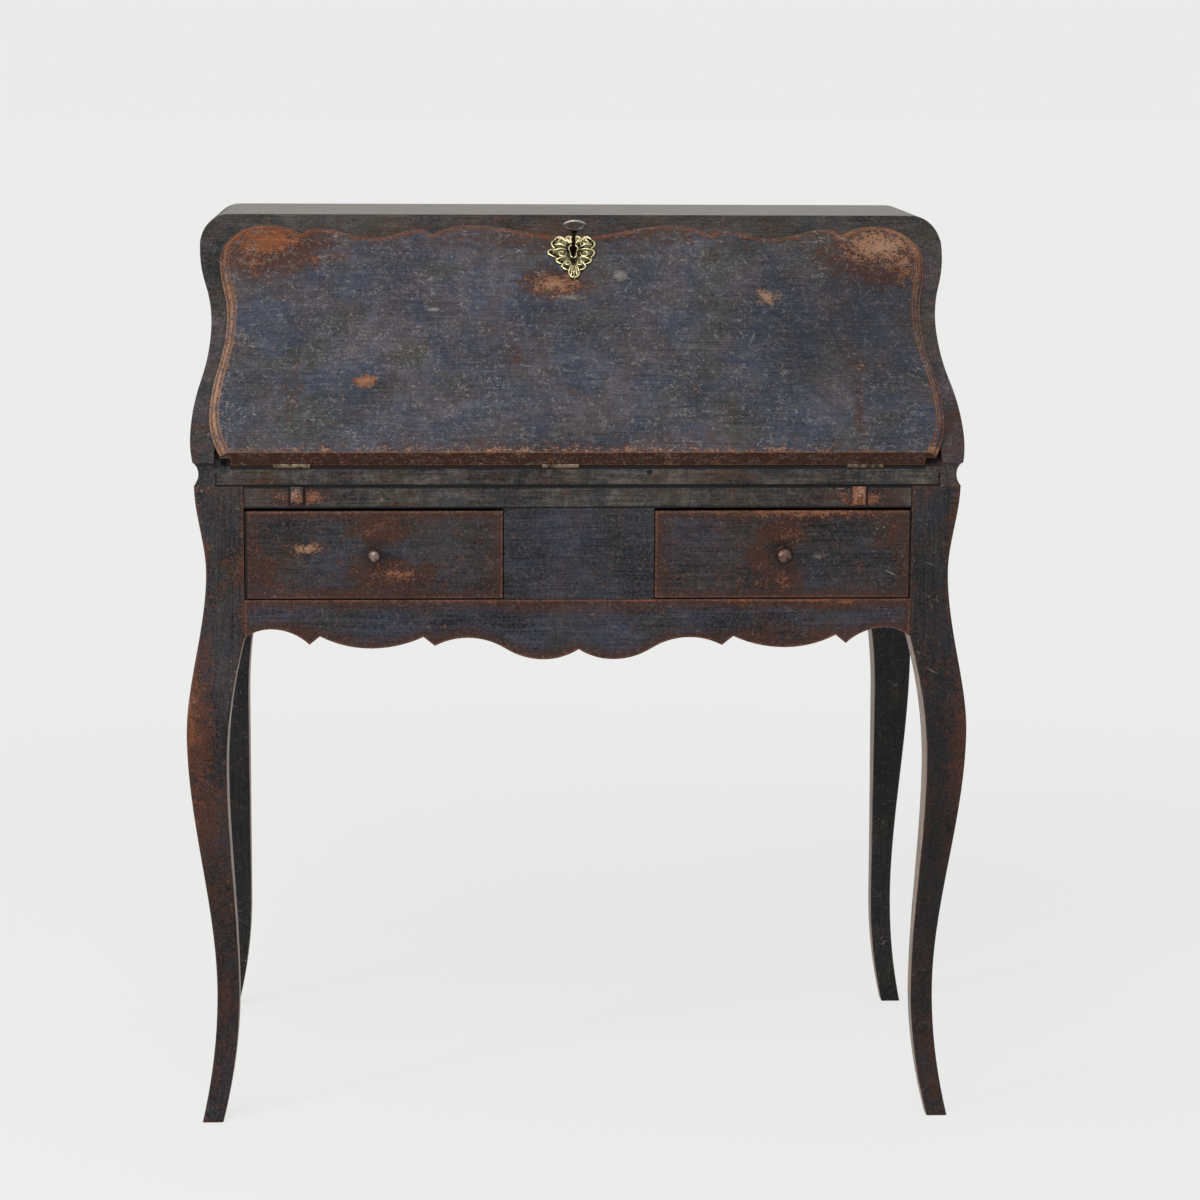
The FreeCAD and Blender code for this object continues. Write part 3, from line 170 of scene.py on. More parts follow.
def wornPaint(name, wear):
    look = {**paint, **wear}
    material, tree = newMaterial(name)
    place = put(tree, "TexCoord", take="Object")
    normal = put(tree, "TexCoord", take="Normal")
    turned = put(tree, "VectorRotate", {"Vector": place, "Center": look["pivot"],
                                        "Angle": -math.radians(look["tilt"])}, rotation_type="X_AXIS")
    local = put(tree, "VectorMath", {0: turned, 1: look["pivot"]}, operation="SUBTRACT")

    # what each noise is laid on, its size, detail, roughness and distortion
    kinds = {
        "hueA": (local, look["hueSize"], 3.0, 0.5, 0.0),
        "hueB": (place, look["hueSize"] * 1.3, 3.0, 0.5, 0.0),
        "cloud": (local, look["cloudSize"], 4.0, 0.6, 0.0),
        "veil": (local, look["veilSize"], 5.0, 0.7, 0.0),
        "fine": (local, look["fineSize"], 2.0, 0.6, 0.0),
        "blotch": (local, look["blotchSize"], 5.0, 0.65, 0.0),
        "cluster": (place, look["clusterSize"], 3.0, 0.5, 0.0),
        "fleck": (local, look["fleckSize"], 2.0, 0.5, 1.2),
    }
    noise = {key: put(tree, "TexNoise", {"Vector": over, "Scale": perMetre(size), "Detail": detail,
                                         "Roughness": rough, "Distortion": bent})
             for key, (over, size, detail, rough, bent) in kinds.items()}
    brush = streaks(tree, local, look["grain"])
    crossBrush = streaks(tree, local, (look["grain"][1], look["grain"][0] * 0.3, look["grain"][2]))

    # the coat: patches of three hues under a haze, broad clouds of light and dark, a woven brush texture
    coat = linear(look["blue"])
    for tone, source, most in (("plum", "hueA", 1.0), ("olive", "hueB", look["oliveShare"]),
                               ("haze", "veil", look["hazeShare"])):
        share = put(tree, "MapRange", {"Value": noise[source], **span[tone], "To Max": most})
        coat = put(tree, "Mix", {0: share, 6: coat, 7: linear(look[tone])}, **rgba)
    strokes = put(tree, "Math", {0: crossBrush, 1: look["weave"], 2: brush}, operation="MULTIPLY_ADD")
    for source in ("cloud", "fine"):
        strokes = put(tree, "Math", {0: noise[source], 1: look["cloudy"], 2: strokes}, operation="MULTIPLY_ADD")
    middle = (1.0 + look["weave"] + 2 * look["cloudy"]) / 2
    strokes = put(tree, "MapRange", {"Value": strokes, "From Min": middle - look["swing"],
                                     "From Max": middle + look["swing"],
                                     "To Min": look["deep"], "To Max": look["light"]})
    coat = put(tree, "VectorMath", {0: coat, "Scale": strokes}, operation="SCALE")

    # edges: how far the rounded normal leaves the true one
    true = put(tree, "NewGeometry", take="Normal")
    worn = {}
    for part in ("edge", "edgeBand"):
        rounded = put(tree, "Bevel", {"Radius": look[part] * mm}, samples=6)
        facing = put(tree, "VectorMath", {0: rounded, 1: true}, **dot)
        worn[part] = put(tree, "MapRange", {"Value": facing, **span["arris"]})

    # grit, about zero, breaks every worn border into speckle
    grit = put(tree, "Math", {0: noise["blotch"], 1: noise["fine"]}, operation="ADD")
    grit = put(tree, "Math", {0: grit, 1: 1.0}, operation="SUBTRACT")

    # thin coat: the ground shows in mottles, in the margins and at rubbed places
    rubbed = spread(tree, look["rubbed"], local)
    band = put(tree, "Math", {0: worn["edgeBand"], 1: look["bandWear"], 2: rubbed}, operation="MULTIPLY_ADD")
    thinning = put(tree, "MapRange", {"Value": noise["hueB"], **span["thin"], "To Max": look["thin"]})
    band = put(tree, "Math", {0: band, 1: thinning}, operation="ADD")
    band = put(tree, "Math", {0: grit, 1: look["grit"], 2: band}, operation="MULTIPLY_ADD")
    groundMask = put(tree, "MapRange", {"Value": band, **span["ground"]})
    groundTone = put(tree, "Mix", {0: noise["fine"], 6: linear(look["groundDark"]), 7: linear(look["ground"])},
                     **rgba)

    # bare wood: arrises, bare places and the moulding that stands out of the field
    share = put(tree, "MapRange", {"Value": brush, **span["grain"]})
    wood = put(tree, "Mix", {0: share, 6: linear(look["woodDark"]), 7: linear(look["woodLight"])}, **rgba)
    tanned = spread(tree, look["tanned"], local)
    wood = put(tree, "Mix", {0: tanned, 6: wood, 7: linear(look["tan"])}, **rgba)
    bare = spread(tree, look["bare"], local)
    core = put(tree, "Math", {0: worn["edge"], 1: look["edgeWear"], 2: bare}, operation="MULTIPLY_ADD")
    if look["field"]:
        along = put(tree, "VectorMath", {0: normal, 1: look["field"]}, **dot)
        moulded = put(tree, "MapRange", {"Value": along, **span["moulding"], "To Max": look["fieldWear"]})
        outward = put(tree, "MapRange", {"Value": along, **span["outward"]})
        core = put(tree, "Math", {0: moulded, 1: outward, 2: core}, operation="MULTIPLY_ADD")
        edgewise = put(tree, "Math", {0: along}, operation="ABSOLUTE")
        edgewise = put(tree, "MapRange", {"Value": edgewise, **span["edgewise"]})
        groundMask = put(tree, "Math", {0: groundMask, 1: edgewise}, operation="MAXIMUM")
    core = put(tree, "Math", {0: grit, 1: look["grit"], 2: core}, operation="MULTIPLY_ADD")
    bareMask = put(tree, "MapRange", {"Value": core, **span["bare"]})

    # short pale marks in clusters, hair scratches, chalky places, and dark places: dirt, and painted shade in gaps
    # and seams
    fleck = put(tree, "Math", {0: noise["cluster"], 1: look["clustered"], 2: noise["fleck"]},
                operation="MULTIPLY_ADD")
    begin = look["fleckBegin"] - look["speck"] / 4
    fleckMask = put(tree, "MapRange", {"Value": fleck, "From Min": begin, "From Max": begin + look["fleckSoft"],
                                       "To Max": look["fleckMost"]})
    hair = 0.0
    for turn, length in look["hairs"]:
        lines = scratches(tree, local, turn, length, look["hairGap"], look["hairWide"])
        hair = put(tree, "Math", {0: hair, 1: lines}, operation="MAXIMUM")
    hair = put(tree, "Math", {0: hair, 1: look["scratch"]}, operation="MULTIPLY")
    chalk = spread(tree, look["chalky"], local)
    chalk = put(tree, "Math", {0: grit, 1: look["chalkGrit"], 2: chalk}, operation="MULTIPLY_ADD")
    chalkMask = put(tree, "MapRange", {"Value": chalk, **span["chalk"]})
    shadeAndDirtMask = put(tree, "MapRange", {"Value": spread(tree, look["dark"], local), **span["dark"]})

    colour = coat
    pale = linear(look["pale"])
    for mask, tone in ((groundMask, groundTone), (bareMask, wood), (fleckMask, pale), (hair, pale),
                       (chalkMask, pale), (shadeAndDirtMask, linear(look["gap"]))):
        colour = put(tree, "Mix", {0: mask, 6: colour, 7: tone}, **rgba)

    # faces that were never painted: those that look a given way, or towards the middle of the desk
    unpainted = -1.0
    for direction in look["insides"]:
        facing = put(tree, "VectorMath", {0: normal, 1: direction}, **dot)
        unpainted = put(tree, "Math", {0: unpainted, 1: facing}, operation="MAXIMUM")
    if look["inward"]:
        outside = put(tree, "Math", {0: put(tree, "SeparateXYZ", {0: place})}, operation="SIGN")
        facing = put(tree, "Math", {0: outside, 1: put(tree, "SeparateXYZ", {0: normal})}, operation="MULTIPLY")
        facing = put(tree, "Math", {0: facing, 1: -1.0}, operation="MULTIPLY")
        unpainted = put(tree, "Math", {0: unpainted, 1: facing}, operation="MAXIMUM")
    share = put(tree, "MapRange", {"Value": brush, **span["plain"]})
    plain = put(tree, "Mix", {0: share, 6: linear(look["groundDark"]), 7: linear(look["insideTone"])}, **rgba)
    inside = put(tree, "MapRange", {"Value": unpainted, **span["inside"]})
    colour = put(tree, "Mix", {0: inside, 6: colour, 7: plain}, **rgba)

    # relief: brush lines, and the coat's thickness round bare wood
    height = put(tree, "Math", {0: strokes, 1: look["strokeRelief"], 2: noise["blotch"]}, operation="MULTIPLY_ADD")
    height = put(tree, "Math", {0: bareMask, 1: -look["coatRelief"], 2: height}, operation="MULTIPLY_ADD")
    bump = put(tree, "Bump", {"Strength": look["relief"], "Distance": look["reliefDepth"] * mm, "Height": height})
    rough = put(tree, "Math", {0: noise["veil"], 1: look["roughSwing"],
                               2: look["roughness"] - look["roughSwing"] / 2}, operation="MULTIPLY_ADD")
    rough = put(tree, "Math", {0: bareMask, 1: look["bareRough"], 2: rough}, operation="MULTIPLY_ADD")
    if look["dustAndSheen"]:
        # the level top: a pale film of dust that is also, in part, painted sheen of light, and wax rubbed smooth
        # by things stood on it
        level = put(tree, "VectorMath", {0: normal, 1: (0.0, 0.0, 1.0)}, **dot)
        level = put(tree, "MapRange", {"Value": level, **span["level"]})
        dustAndSheenFilm = put(tree, "MapRange", {"Value": brush, **span["dustAndSheenFilm"], "To Min": look["dustAndSheen"] * 0.6,
                                      "To Max": look["dustAndSheen"]})
        dustAndSheenFilm = put(tree, "Math", {0: dustAndSheenFilm, 1: level}, operation="MULTIPLY")
        colour = put(tree, "Mix", {0: dustAndSheenFilm, 6: colour, 7: linear(look["dustAndSheenTone"])}, **rgba)
        rough = put(tree, "Math", {0: level, 1: -look["polish"], 2: rough}, operation="MULTIPLY_ADD")
    shader = put(tree, "BsdfPrincipled", {"Base Color": colour, "Roughness": rough, "Normal": bump,
                                          "Specular IOR Level": look["specular"]})
    put(tree, "OutputMaterial", {"Surface": shader})
    return material


# Unpainted pine, planed by hand and gone brown: matt, drawn-out grain, dusty.
pine = {"dark": "#3d2718", "light": "#6f4c30", "stainSize": 60.0, "stain": 0.5, "shown": (0.5, 1.0),
        "grainLong": 60.0, "grainWide": 1.8, "roughness": 0.6, "roughSwing": 0.15, "specular": 0.3,
        "relief": 0.3, "reliefDepth": 0.4}


def agedPine(name, lengthways):
    # lengthways: 0, 1 or 2 for grain along x, y or z
    material, tree = newMaterial(name)
    place = put(tree, "TexCoord", take="Object")
    lines = streaks(tree, place, [pine["grainLong" if axis == lengthways else "grainWide"] for axis in range(3)])
    stain = put(tree, "TexNoise", {"Vector": place, "Scale": perMetre(pine["stainSize"]), "Detail": 4.0})
    share = put(tree, "Math", {0: stain, 1: pine["stain"], 2: lines}, operation="MULTIPLY_ADD")
    share = put(tree, "MapRange", {"Value": share, "From Min": pine["shown"][0], "From Max": pine["shown"][1]})
    colour = put(tree, "Mix", {0: share, 6: linear(pine["dark"]), 7: linear(pine["light"])}, **rgba)
    bump = put(tree, "Bump", {"Strength": pine["relief"], "Distance": pine["reliefDepth"] * mm, "Height": lines})
    rough = put(tree, "Math", {0: lines, 1: pine["roughSwing"], 2: pine["roughness"]}, operation="MULTIPLY_ADD")
    shader = put(tree, "BsdfPrincipled", {"Base Color": colour, "Roughness": rough, "Normal": bump,
                                          "Specular IOR Level": pine["specular"]})
    put(tree, "OutputMaterial", {"Surface": shader})
    return material


# Old metal: tone mottled by tarnish in patches, duller there, with shallow pits a fifth of a patch wide.
metal = {"begin": 0.62, "soft": 0.16, "dullRough": 0.25, "relief": 0.25, "reliefDepth": 0.3}


def oldMetal(name, bright, dull, roughness, tarnish=0.5, patch=6.0, paintedShade=None):
    # patch: size in mm; the last argument, painted shade: a direction, and how far out along it in m the metal is
    # left as it is and where it is fully painted dark, for shade and dark reflection
    material, tree = newMaterial(name)
    place = put(tree, "TexCoord", take="Object")
    patches = put(tree, "TexNoise", {"Vector": place, "Scale": perMetre(patch), "Detail": 5.0, "Roughness": 0.65})
    pits = put(tree, "TexNoise", {"Vector": place, "Scale": perMetre(patch / 5), "Detail": 3.0})
    begin = metal["begin"] - 0.3 * tarnish
    share = put(tree, "MapRange", {"Value": patches, "From Min": begin, "From Max": begin + metal["soft"]})
    if paintedShade:
        out = put(tree, "VectorMath", {0: place, 1: paintedShade["out"]}, **dot)
        shadedEnd = put(tree, "MapRange", {"Value": out, "From Min": paintedShade["unshaded"], "From Max": paintedShade["dark"]})
        share = put(tree, "Math", {0: share, 1: shadedEnd}, operation="MAXIMUM")
    colour = put(tree, "Mix", {0: share, 6: linear(bright), 7: linear(dull)}, **rgba)
    rough = put(tree, "Math", {0: share, 1: metal["dullRough"], 2: roughness}, operation="MULTIPLY_ADD")
    bump = put(tree, "Bump", {"Strength": metal["relief"], "Distance": metal["reliefDepth"] * mm, "Height": pits})
    shader = put(tree, "BsdfPrincipled", {"Base Color": colour, "Roughness": rough, "Normal": bump,
                                          "Metallic": 1.0})
    put(tree, "OutputMaterial", {"Surface": shader})
    return material


# Fall: the bluest piece, bare in both upper corners, below the escutcheon, on its moulding and along its lower
# edge, with plain wood behind. Its spots are measured from the hinge line, up the slope.
fallWear = {
    "tilt": fallTilt, "pivot": tuple(hingeLine), "field": tuple(fallOut), "fieldWear": 0.54,
    "insides": [tuple(-fallOut)], "insideTone": "#7b5638",
    "blue": "#2b303d", "plum": "#383237", "olive": "#2f3027", "haze": "#55545c", "oliveShare": 0.7,
    "ground": "#472512", "woodDark": "#4a2611", "woodLight": "#874c24", "tan": "#8f6d56",
    "weave": 0.4, "thin": 0.14, "bandWear": 0.35, "speck": 0.34, "scratch": 0.6,
    "bare": [(-334, 294, 52, 30, 0, 1.2), (-352, 280, 36, 64, 20, 0.6), (336, 288, 70, 44, 6, 0.95),
             (360, 262, 22, 52, 0, 0.7), (-225, 97, 19, 14, 8, 1.2), (209, 214, 23, 17, 0, 0.95),
             (303, 117, 12, 18, 0, 0.4), (-21, 233, 48, 25, 0, 0.85), (0, 4, 900, 8, 0, 0.45),
             (-385, 90, 26, 150, 0, 0.25), (-366, 210, 22, 120, -8, 0.25), (-280, 268, 60, 10, 10, 0.45)],
    "tanned": [(-382, 110, 40, 200, 0, 1.3), (340, 286, 74, 44, 0, 0.9), (376, 170, 24, 160, 0, 0.8),
               (209, 214, 26, 20, 0, 1.2), (-225, 97, 19, 14, 8, 0.4), (-23, 231, 46, 28, 0, 0.6),
               (303, 117, 16, 24, 0, 1.0), (0, 6, 900, 8, 0, 1.2)],
    "rubbed": [(-326, 280, 92, 56, 12, 1.5), (338, 272, 92, 62, 0, 1.5), (-20, 233, 60, 36, 0, 1.4),
               (-63, 132, 9, 22, 0, 0.8), (124, 90, 8, 15, 0, 0.8), (303, 117, 15, 22, 0, 0.8),
               (297, 52, 10, 60, 0, 0.75), (-302, 83, 18, 55, 0, 0.6), (-85, 172, 18, 14, 0, 0.5),
               (0, 4, 560, 26, 0, 0.6), (0, 300, 420, 34, 0, 0.62)],
    "dark": [(300, 170, 190, 130, 0, 0.16)],
    "chalky": [(50, 245, 14, 13, 0, 1.1), (-153, 196, 10, 4, 0, 1.6), (-5, 214, 40, 10, 0, 0.7),
               (-240, 140, 24, 26, 0, 0.5), (-227, 165, 20, 16, 0, 0.45), (222, 108, 11, 7, 0, 0.7),
               (190, 156, 3, 13, -20, 0.9), (250, 120, 60, 60, 0, 0.25), (0, 120, 160, 60, 0, 0.22)],
}
dress(wornPaint("milkPaintOnFall", fallWear), "fall_board")

# Upper case: browner and greener than the fall, little worn at its edges
caseWear = {"deep": 0.12, "light": 1.83, "swing": 0.28, "blue": "#252527", "plum": "#2e2827", "olive": "#2b2b20",
            "haze": "#4d463f", "oliveShare": 0.8, "thin": 0.38, "edgeWear": 0.10, "bandWear": 0.15,
            "speck": 0.26, "scratch": 0.22, "pale": "#6f685f"}
# the top's pale film: dust, and in part painted sheen of light on its level face
topWear = {**caseWear, "dustAndSheen": 0.28, "insides": [(0.0, 0.0, -1.0)], "rubbed": [(0, 950, 300, 30, 0, 0.35)]}
dress(wornPaint("milkPaintOnTop", topWear), "top_board", "lock_rail")
sideWear = {**caseWear, "grain": (2.2, 60.0, 2.2), "plum": "#383033", "haze": "#5a4f50", "inward": True,
            "edge": 4.0, "rubbed": [(-398, 745, 30, 40, 0, 0.5), (402, 750, 30, 50, 0, 0.6)]}
dress(wornPaint("milkPaintOnCaseSides", sideWear), "upper_side_left", "upper_side_right")

# Bed and rail: streaked grey, black lines of painted shade along their seams and ends, bare wood beside the lopers
bedWear = {**caseWear, "haze": "#544c45", "hazeShare": 0.8, "deep": 0.2, "light": 2.0,
           "insides": [(0.0, 0.0, 1.0)], "insideTone": "#3d2a1e",
           # dark: a small dark spot, then painted shade in the seam against the rail, in the seam under the fall's
           # lip, and at the bed's ends
           "dark": [(74, 708, 4, 3, 0, 1.0), (0, 692.6, far, 3.2, 0, 1.0), (0, 715.0, far, 4.6, 0, 1.0),
                    (-382, 705, 1.8, 60, 0, 1.0), (382, 705, 1.8, 60, 0, 1.0)],
           "rubbed": [(-330, 697, 60, 8, 0, 0.6), (150, 704, 90, 10, 0, 0.5), (-90, 703, 70, 9, 0, 0.5)]}
dress(wornPaint("milkPaintOnBed", bedWear), "writing_bed")
railWear = {**caseWear, "woodDark": "#482a1d", "woodLight": "#82543d", "haze": "#4d4743", "hazeShare": 0.75,
            "deep": 0.2, "light": 1.9, "insides": [(0.0, 1.0, 0.0)],
            "bare": [(-313, 682, 15, 11, 0, 0.6), (-279, 680, 18, 12, 0, 0.8), (281, 682, 17, 12, 0, 0.7),
                     (312, 681, 15, 12, 0, 0.9)],
            "rubbed": [(-297, 682, 62, 20, 0, 0.9), (297, 682, 58, 20, 0, 0.9)],
            # dark: painted shade in the seams above and below the rail and at its ends
            "dark": [(0, 693.4, far, 3.2, 0, 1.0), (0, 669.6, far, 2.4, 0, 1.0),
                     (-353.4, 680, 2.2, 200, 0, 1.0), (353.4, 680, 2.2, 200, 0, 1.0)],
            "chalky": [(262, 692, 14, 3, 0, 1.4), (276, 691, 8, 3, 0, 1.4)]}
dress(wornPaint("milkPaintOnRail", railWear), "front_rail")

# Front below the rail: nearly black, strong brush marks
frontWear = {"deep": 0.12, "light": 1.83, "swing": 0.26, "blue": "#20222b", "plum": "#252228", "olive": "#22231c",
             "haze": "#38373e", "thin": 0.22, "insides": [(0.0, 1.0, 0.0)], "speck": 0.20, "scratch": 0.28,
             "pale": "#6f6a66"}
panelWear = {**frontWear, "edgeWear": 0.1, "bandWear": 0.15}
dress(wornPaint("milkPaintOnCentrePanel", panelWear), "centre_panel")
apronWear = {**frontWear, "edge": 6.0, "edgeBand": 28.0, "bandWear": 2.6, "edgeWear": 0.9,
             "blue": "#242631", "plum": "#2a2730",
             "rubbed": [(224, 536, 76, 26, 0, 0.6), (-300, 540, 44, 20, 0, 0.5), (250, 566, 110, 9, 0, 0.7)],
             "bare": [(250, 570, 110, 5, 0, 0.6)], "chalky": [(-271, 560, 1.6, 12, 8, 1.0)]}
dress(wornPaint("milkPaintOnApron", apronWear), "front_apron")

# Drawers: brown margins, worn arrises, dirt round each knob, painted shade for the gaps at the outer ends and
# below
drawerWear = {**frontWear, "woodDark": "#4a2b1d", "woodLight": "#85563d", "blue": "#20212a", "plum": "#272124",
              "olive": "#24241c", "haze": "#383336", "thin": 0.36, "grit": 1.9,
              "edge": 7.0, "edgeWear": 1.0, "edgeBand": 26.0, "bandWear": 2.4,
              "dark": [(-216, 621, 24, 22, 0, 0.16), (216, 621, 24, 22, 0, 0.16),
                       # painted shade for the gaps at the drawers' outer ends and below them
                       (-352.2, 620, 3.4, far, 0, 1.0), (352.2, 620, 2.8, far, 0, 1.0),
                       (0, 572.8, far, 1.6, 0, 1.0)]}
leftDrawerWear = {
    **drawerWear, "tanned": [(-288, 627, 27, 11, 4, 0.6)],
    "rubbed": [(-212, 646, 42, 24, 0, 1.15), (-200, 600, 76, 26, -6, 1.25), (-330, 600, 30, 50, 0, 0.6),
               (-287, 628, 36, 14, 0, 0.6), (-216, 578, 150, 12, 0, 0.5)],
    "bare": [(-288, 627, 27, 11, 4, 0.85), (-216, 648, 22, 11, 0, 0.5), (-196, 599, 46, 14, -6, 0.7),
             (-245, 608, 14, 6, 0, 0.5)],
}
dress(wornPaint("milkPaintOnLeftDrawer", leftDrawerWear), "drawer_left_front")
rightDrawerWear = {
    **drawerWear, "chalky": [(331, 600, 13, 1.6, -24, 1.2), (252, 618, 13, 9, 0, 0.6)],
    "rubbed": [(213, 642, 38, 22, 0, 1.2), (217, 594, 36, 22, 0, 1.35), (194, 615, 22, 28, 0, 1.0),
               (235, 662, 120, 10, 0, 0.6), (330, 640, 24, 30, 0, 0.4)],
    "bare": [(220, 640, 20, 9, 8, 0.6), (218, 592, 20, 12, 0, 0.6), (240, 666, 130, 12, 0, 0.75)],
}
dress(wornPaint("milkPaintOnRightDrawer", rightDrawerWear), "drawer_right_front")

# Legs: rubbed hardest on the outer side of the knee and down the shins, bare wood on their inner faces painted
# pale, a painted highlight for the light they catch
legWear = {"deep": 0.12, "light": 1.83, "swing": 0.26, "blue": "#1e1f26", "plum": "#252023", "olive": "#22221a",
           "haze": "#342e2d", "ground": "#5c3522", "groundDark": "#1f110c", "thin": 0.38,
           # insideTone: the inner faces painted pale, bare wood and a painted highlight of light caught from the
           # surround
           "grain": (2.2, 48.0, 2.2), "inward": True, "insideTone": "#a58d7c", "hueSize": 38.0, "grit": 1.9,
           "woodDark": "#422517", "woodLight": "#75432c", "edgeWear": 0.35, "bandWear": 0.6, "edgeBand": 8.0,
           "scratch": 0.15, "speck": 0.2}
frontLegWear = {
    **legWear,
    "rubbed": [(-412, 440, 34, 140, 0, 1.3), (-402, 330, 40, 110, 0, 0.8), (-394, 200, 34, 120, 0, 0.5),
               (-405, 600, 16, 110, 0, 0.8), (413, 400, 28, 190, 0, 1.1), (408, 240, 22, 160, 8, 1.0),
               (404, 660, 16, 40, 0, 1.0), (370, 330, 16, 160, 0, 0.7), (397, 590, 10, 90, 0, 0.7),
               (-390, 60, 40, 80, 0, 0.5), (392, 60, 40, 80, 0, 0.7), (-357, 600, 8, 90, 0, 0.5),
               (388, 400, 70, 220, 0, 0.25), (-386, 180, 60, 220, 0, 0.45), (388, 160, 60, 220, 0, 0.4)],
    "bare": [(-416, 450, 24, 100, 0, 1.0), (-410, 350, 20, 80, 0, 0.6), (417, 390, 19, 150, 0, 0.75),
             (408, 250, 12, 120, 8, 0.5), (404, 664, 10, 24, 0, 0.5), (368, 320, 6, 130, 0, 0.4)],
    "chalky": [(372, 610, 10, 1.4, -24, 1.0), (378, 494, 11, 1.4, -30, 1.2)],
    "dark": [(-388, 160, 90, 330, 0, 0.17), (384, 270, 70, 520, 0, 0.28)],
}
dress(wornPaint("milkPaintOnFrontLegs", frontLegWear), "front_leg_left", "front_leg_right")
rearLegWear = {**legWear, "thin": 0.2, "bandWear": 0.3, "edgeWear": 0.25, "grit": 1.2, "blue": "#131214",
               "plum": "#171314", "haze": "#1f1c1c"}
dress(wornPaint("milkPaintOnRearLegs", rearLegWear), "rear_leg_left", "rear_leg_right")
sidePanelWear = {**legWear, "thin": 0.3, "bandWear": 0.3, "grain": (48.0, 2.2, 2.2)}
dress(wornPaint("milkPaintOnSidePanels", sidePanelWear), "side_panel_left", "side_panel_right")

dress(agedPine("barePineAcross", 0), "lower_back", "upper_back", "drawer_left_back", "drawer_right_back",
      "inside_shelf", "inside_drawer_front", "inside_drawer_back")
dress(agedPine("barePineDeep", 1), "drawer_runners_left", "drawer_runners_right", "loper_guide_left",
      "loper_guide_right", "drawer_left_side_inner", "drawer_left_side_outer", "drawer_right_side_inner",
      "drawer_right_side_outer", "drawer_left_bottom", "drawer_right_bottom", "inside_drawer_side_left",
      "inside_drawer_side_right", "inside_drawer_bottom", "loper_stop_left", "loper_stop_right")
dress(agedPine("barePineUpright", 2), "inside_partition_left", "inside_partition_right")

# Lopers: the ends handled bare and brown between painted shade for the gaps at their sides, the lengths left plain
loperWear = {**frontWear, "woodDark": "#552f20", "woodLight": "#966249", "grain": (2.2, 20.0, 20.0),
             "thin": 0.6, "edgeWear": 0.4, "bandWear": 0.5,
             "insides": [(1.0, 0.0, 0.0), (-1.0, 0.0, 0.0), (0.0, 0.0, 1.0), (0.0, 0.0, -1.0)],
             # dark: painted shade for the gaps beside the loper ends
             "dark": [(-305, 683, 2.4, far, 0, 1.0), (-289, 683, 2.0, far, 0, 1.0), (305, 683, 2.4, far, 0, 1.0)],
             "bare": [(-297, 683, 17, 17, 0, 0.85), (297, 683, 22, 22, 0, 1.1)],
             "tanned": [(-299, 686, 9, 8, 0, 0.8), (299, 686, 9, 8, 0, 0.5)]}
dress(wornPaint("rubbedLoperEnds", loperWear), "loper_left", "loper_right")
print("woods dressed")

# Left knob: iron rubbed bright by hands. Right knob: browner, duller.
dress(oldMetal("rubbedIron", "#82736c", "#2e231e", roughness=0.28, tarnish=0.55), "drawer_left_knob")
dress(oldMetal("forgedIron", "#68544b", "#2c1f1a", roughness=0.36, tarnish=0.55), "drawer_right_knob",
      "inside_drawer_knob")
# Lock: dark mottled iron
dress(oldMetal("lockIron", "#4b4846", "#2a2421", roughness=0.45), "lock_case", "lock_bolt", "lock_screws",
      "strike_plate")
# Key: the bow rubbed bright, the stem painted dark brown up to where the bow begins, a painted shade and dark
# reflection
hingeOut = hingeLine.dot(fallOut)
keyStemShade = {"out": tuple(fallOut), "unshaded": hingeOut + 62 * mm, "dark": hingeOut + 54 * mm}
dress(oldMetal("keySteel", "#a8a5a0", "#2e241c", roughness=0.3, tarnish=0.2, paintedShade=keyStemShade), "key")
# Hinges: brass gone grey-brown
dress(oldMetal("tarnishedBrass", "#7a6c5c", "#2c251f", roughness=0.40, tarnish=0.55, patch=12.0),
      "hinge_bed_leaves", "hinge_fall_leaves", "hinge_pins", "hinge_bed_screws", "hinge_fall_screws")
# Small tacks: bright on the escutcheon, dull and brown on the lopers
dress(oldMetal("brassTacks", "#cdbd92", "#5a4a2a", roughness=0.26, tarnish=0.3, patch=4.0), "escutcheon_pins")
dress(oldMetal("dulledTacks", "#8a6f57", "#3c281c", roughness=0.45, patch=4.0), "loper_pull_left",
      "loper_pull_right")
print("metals dressed")

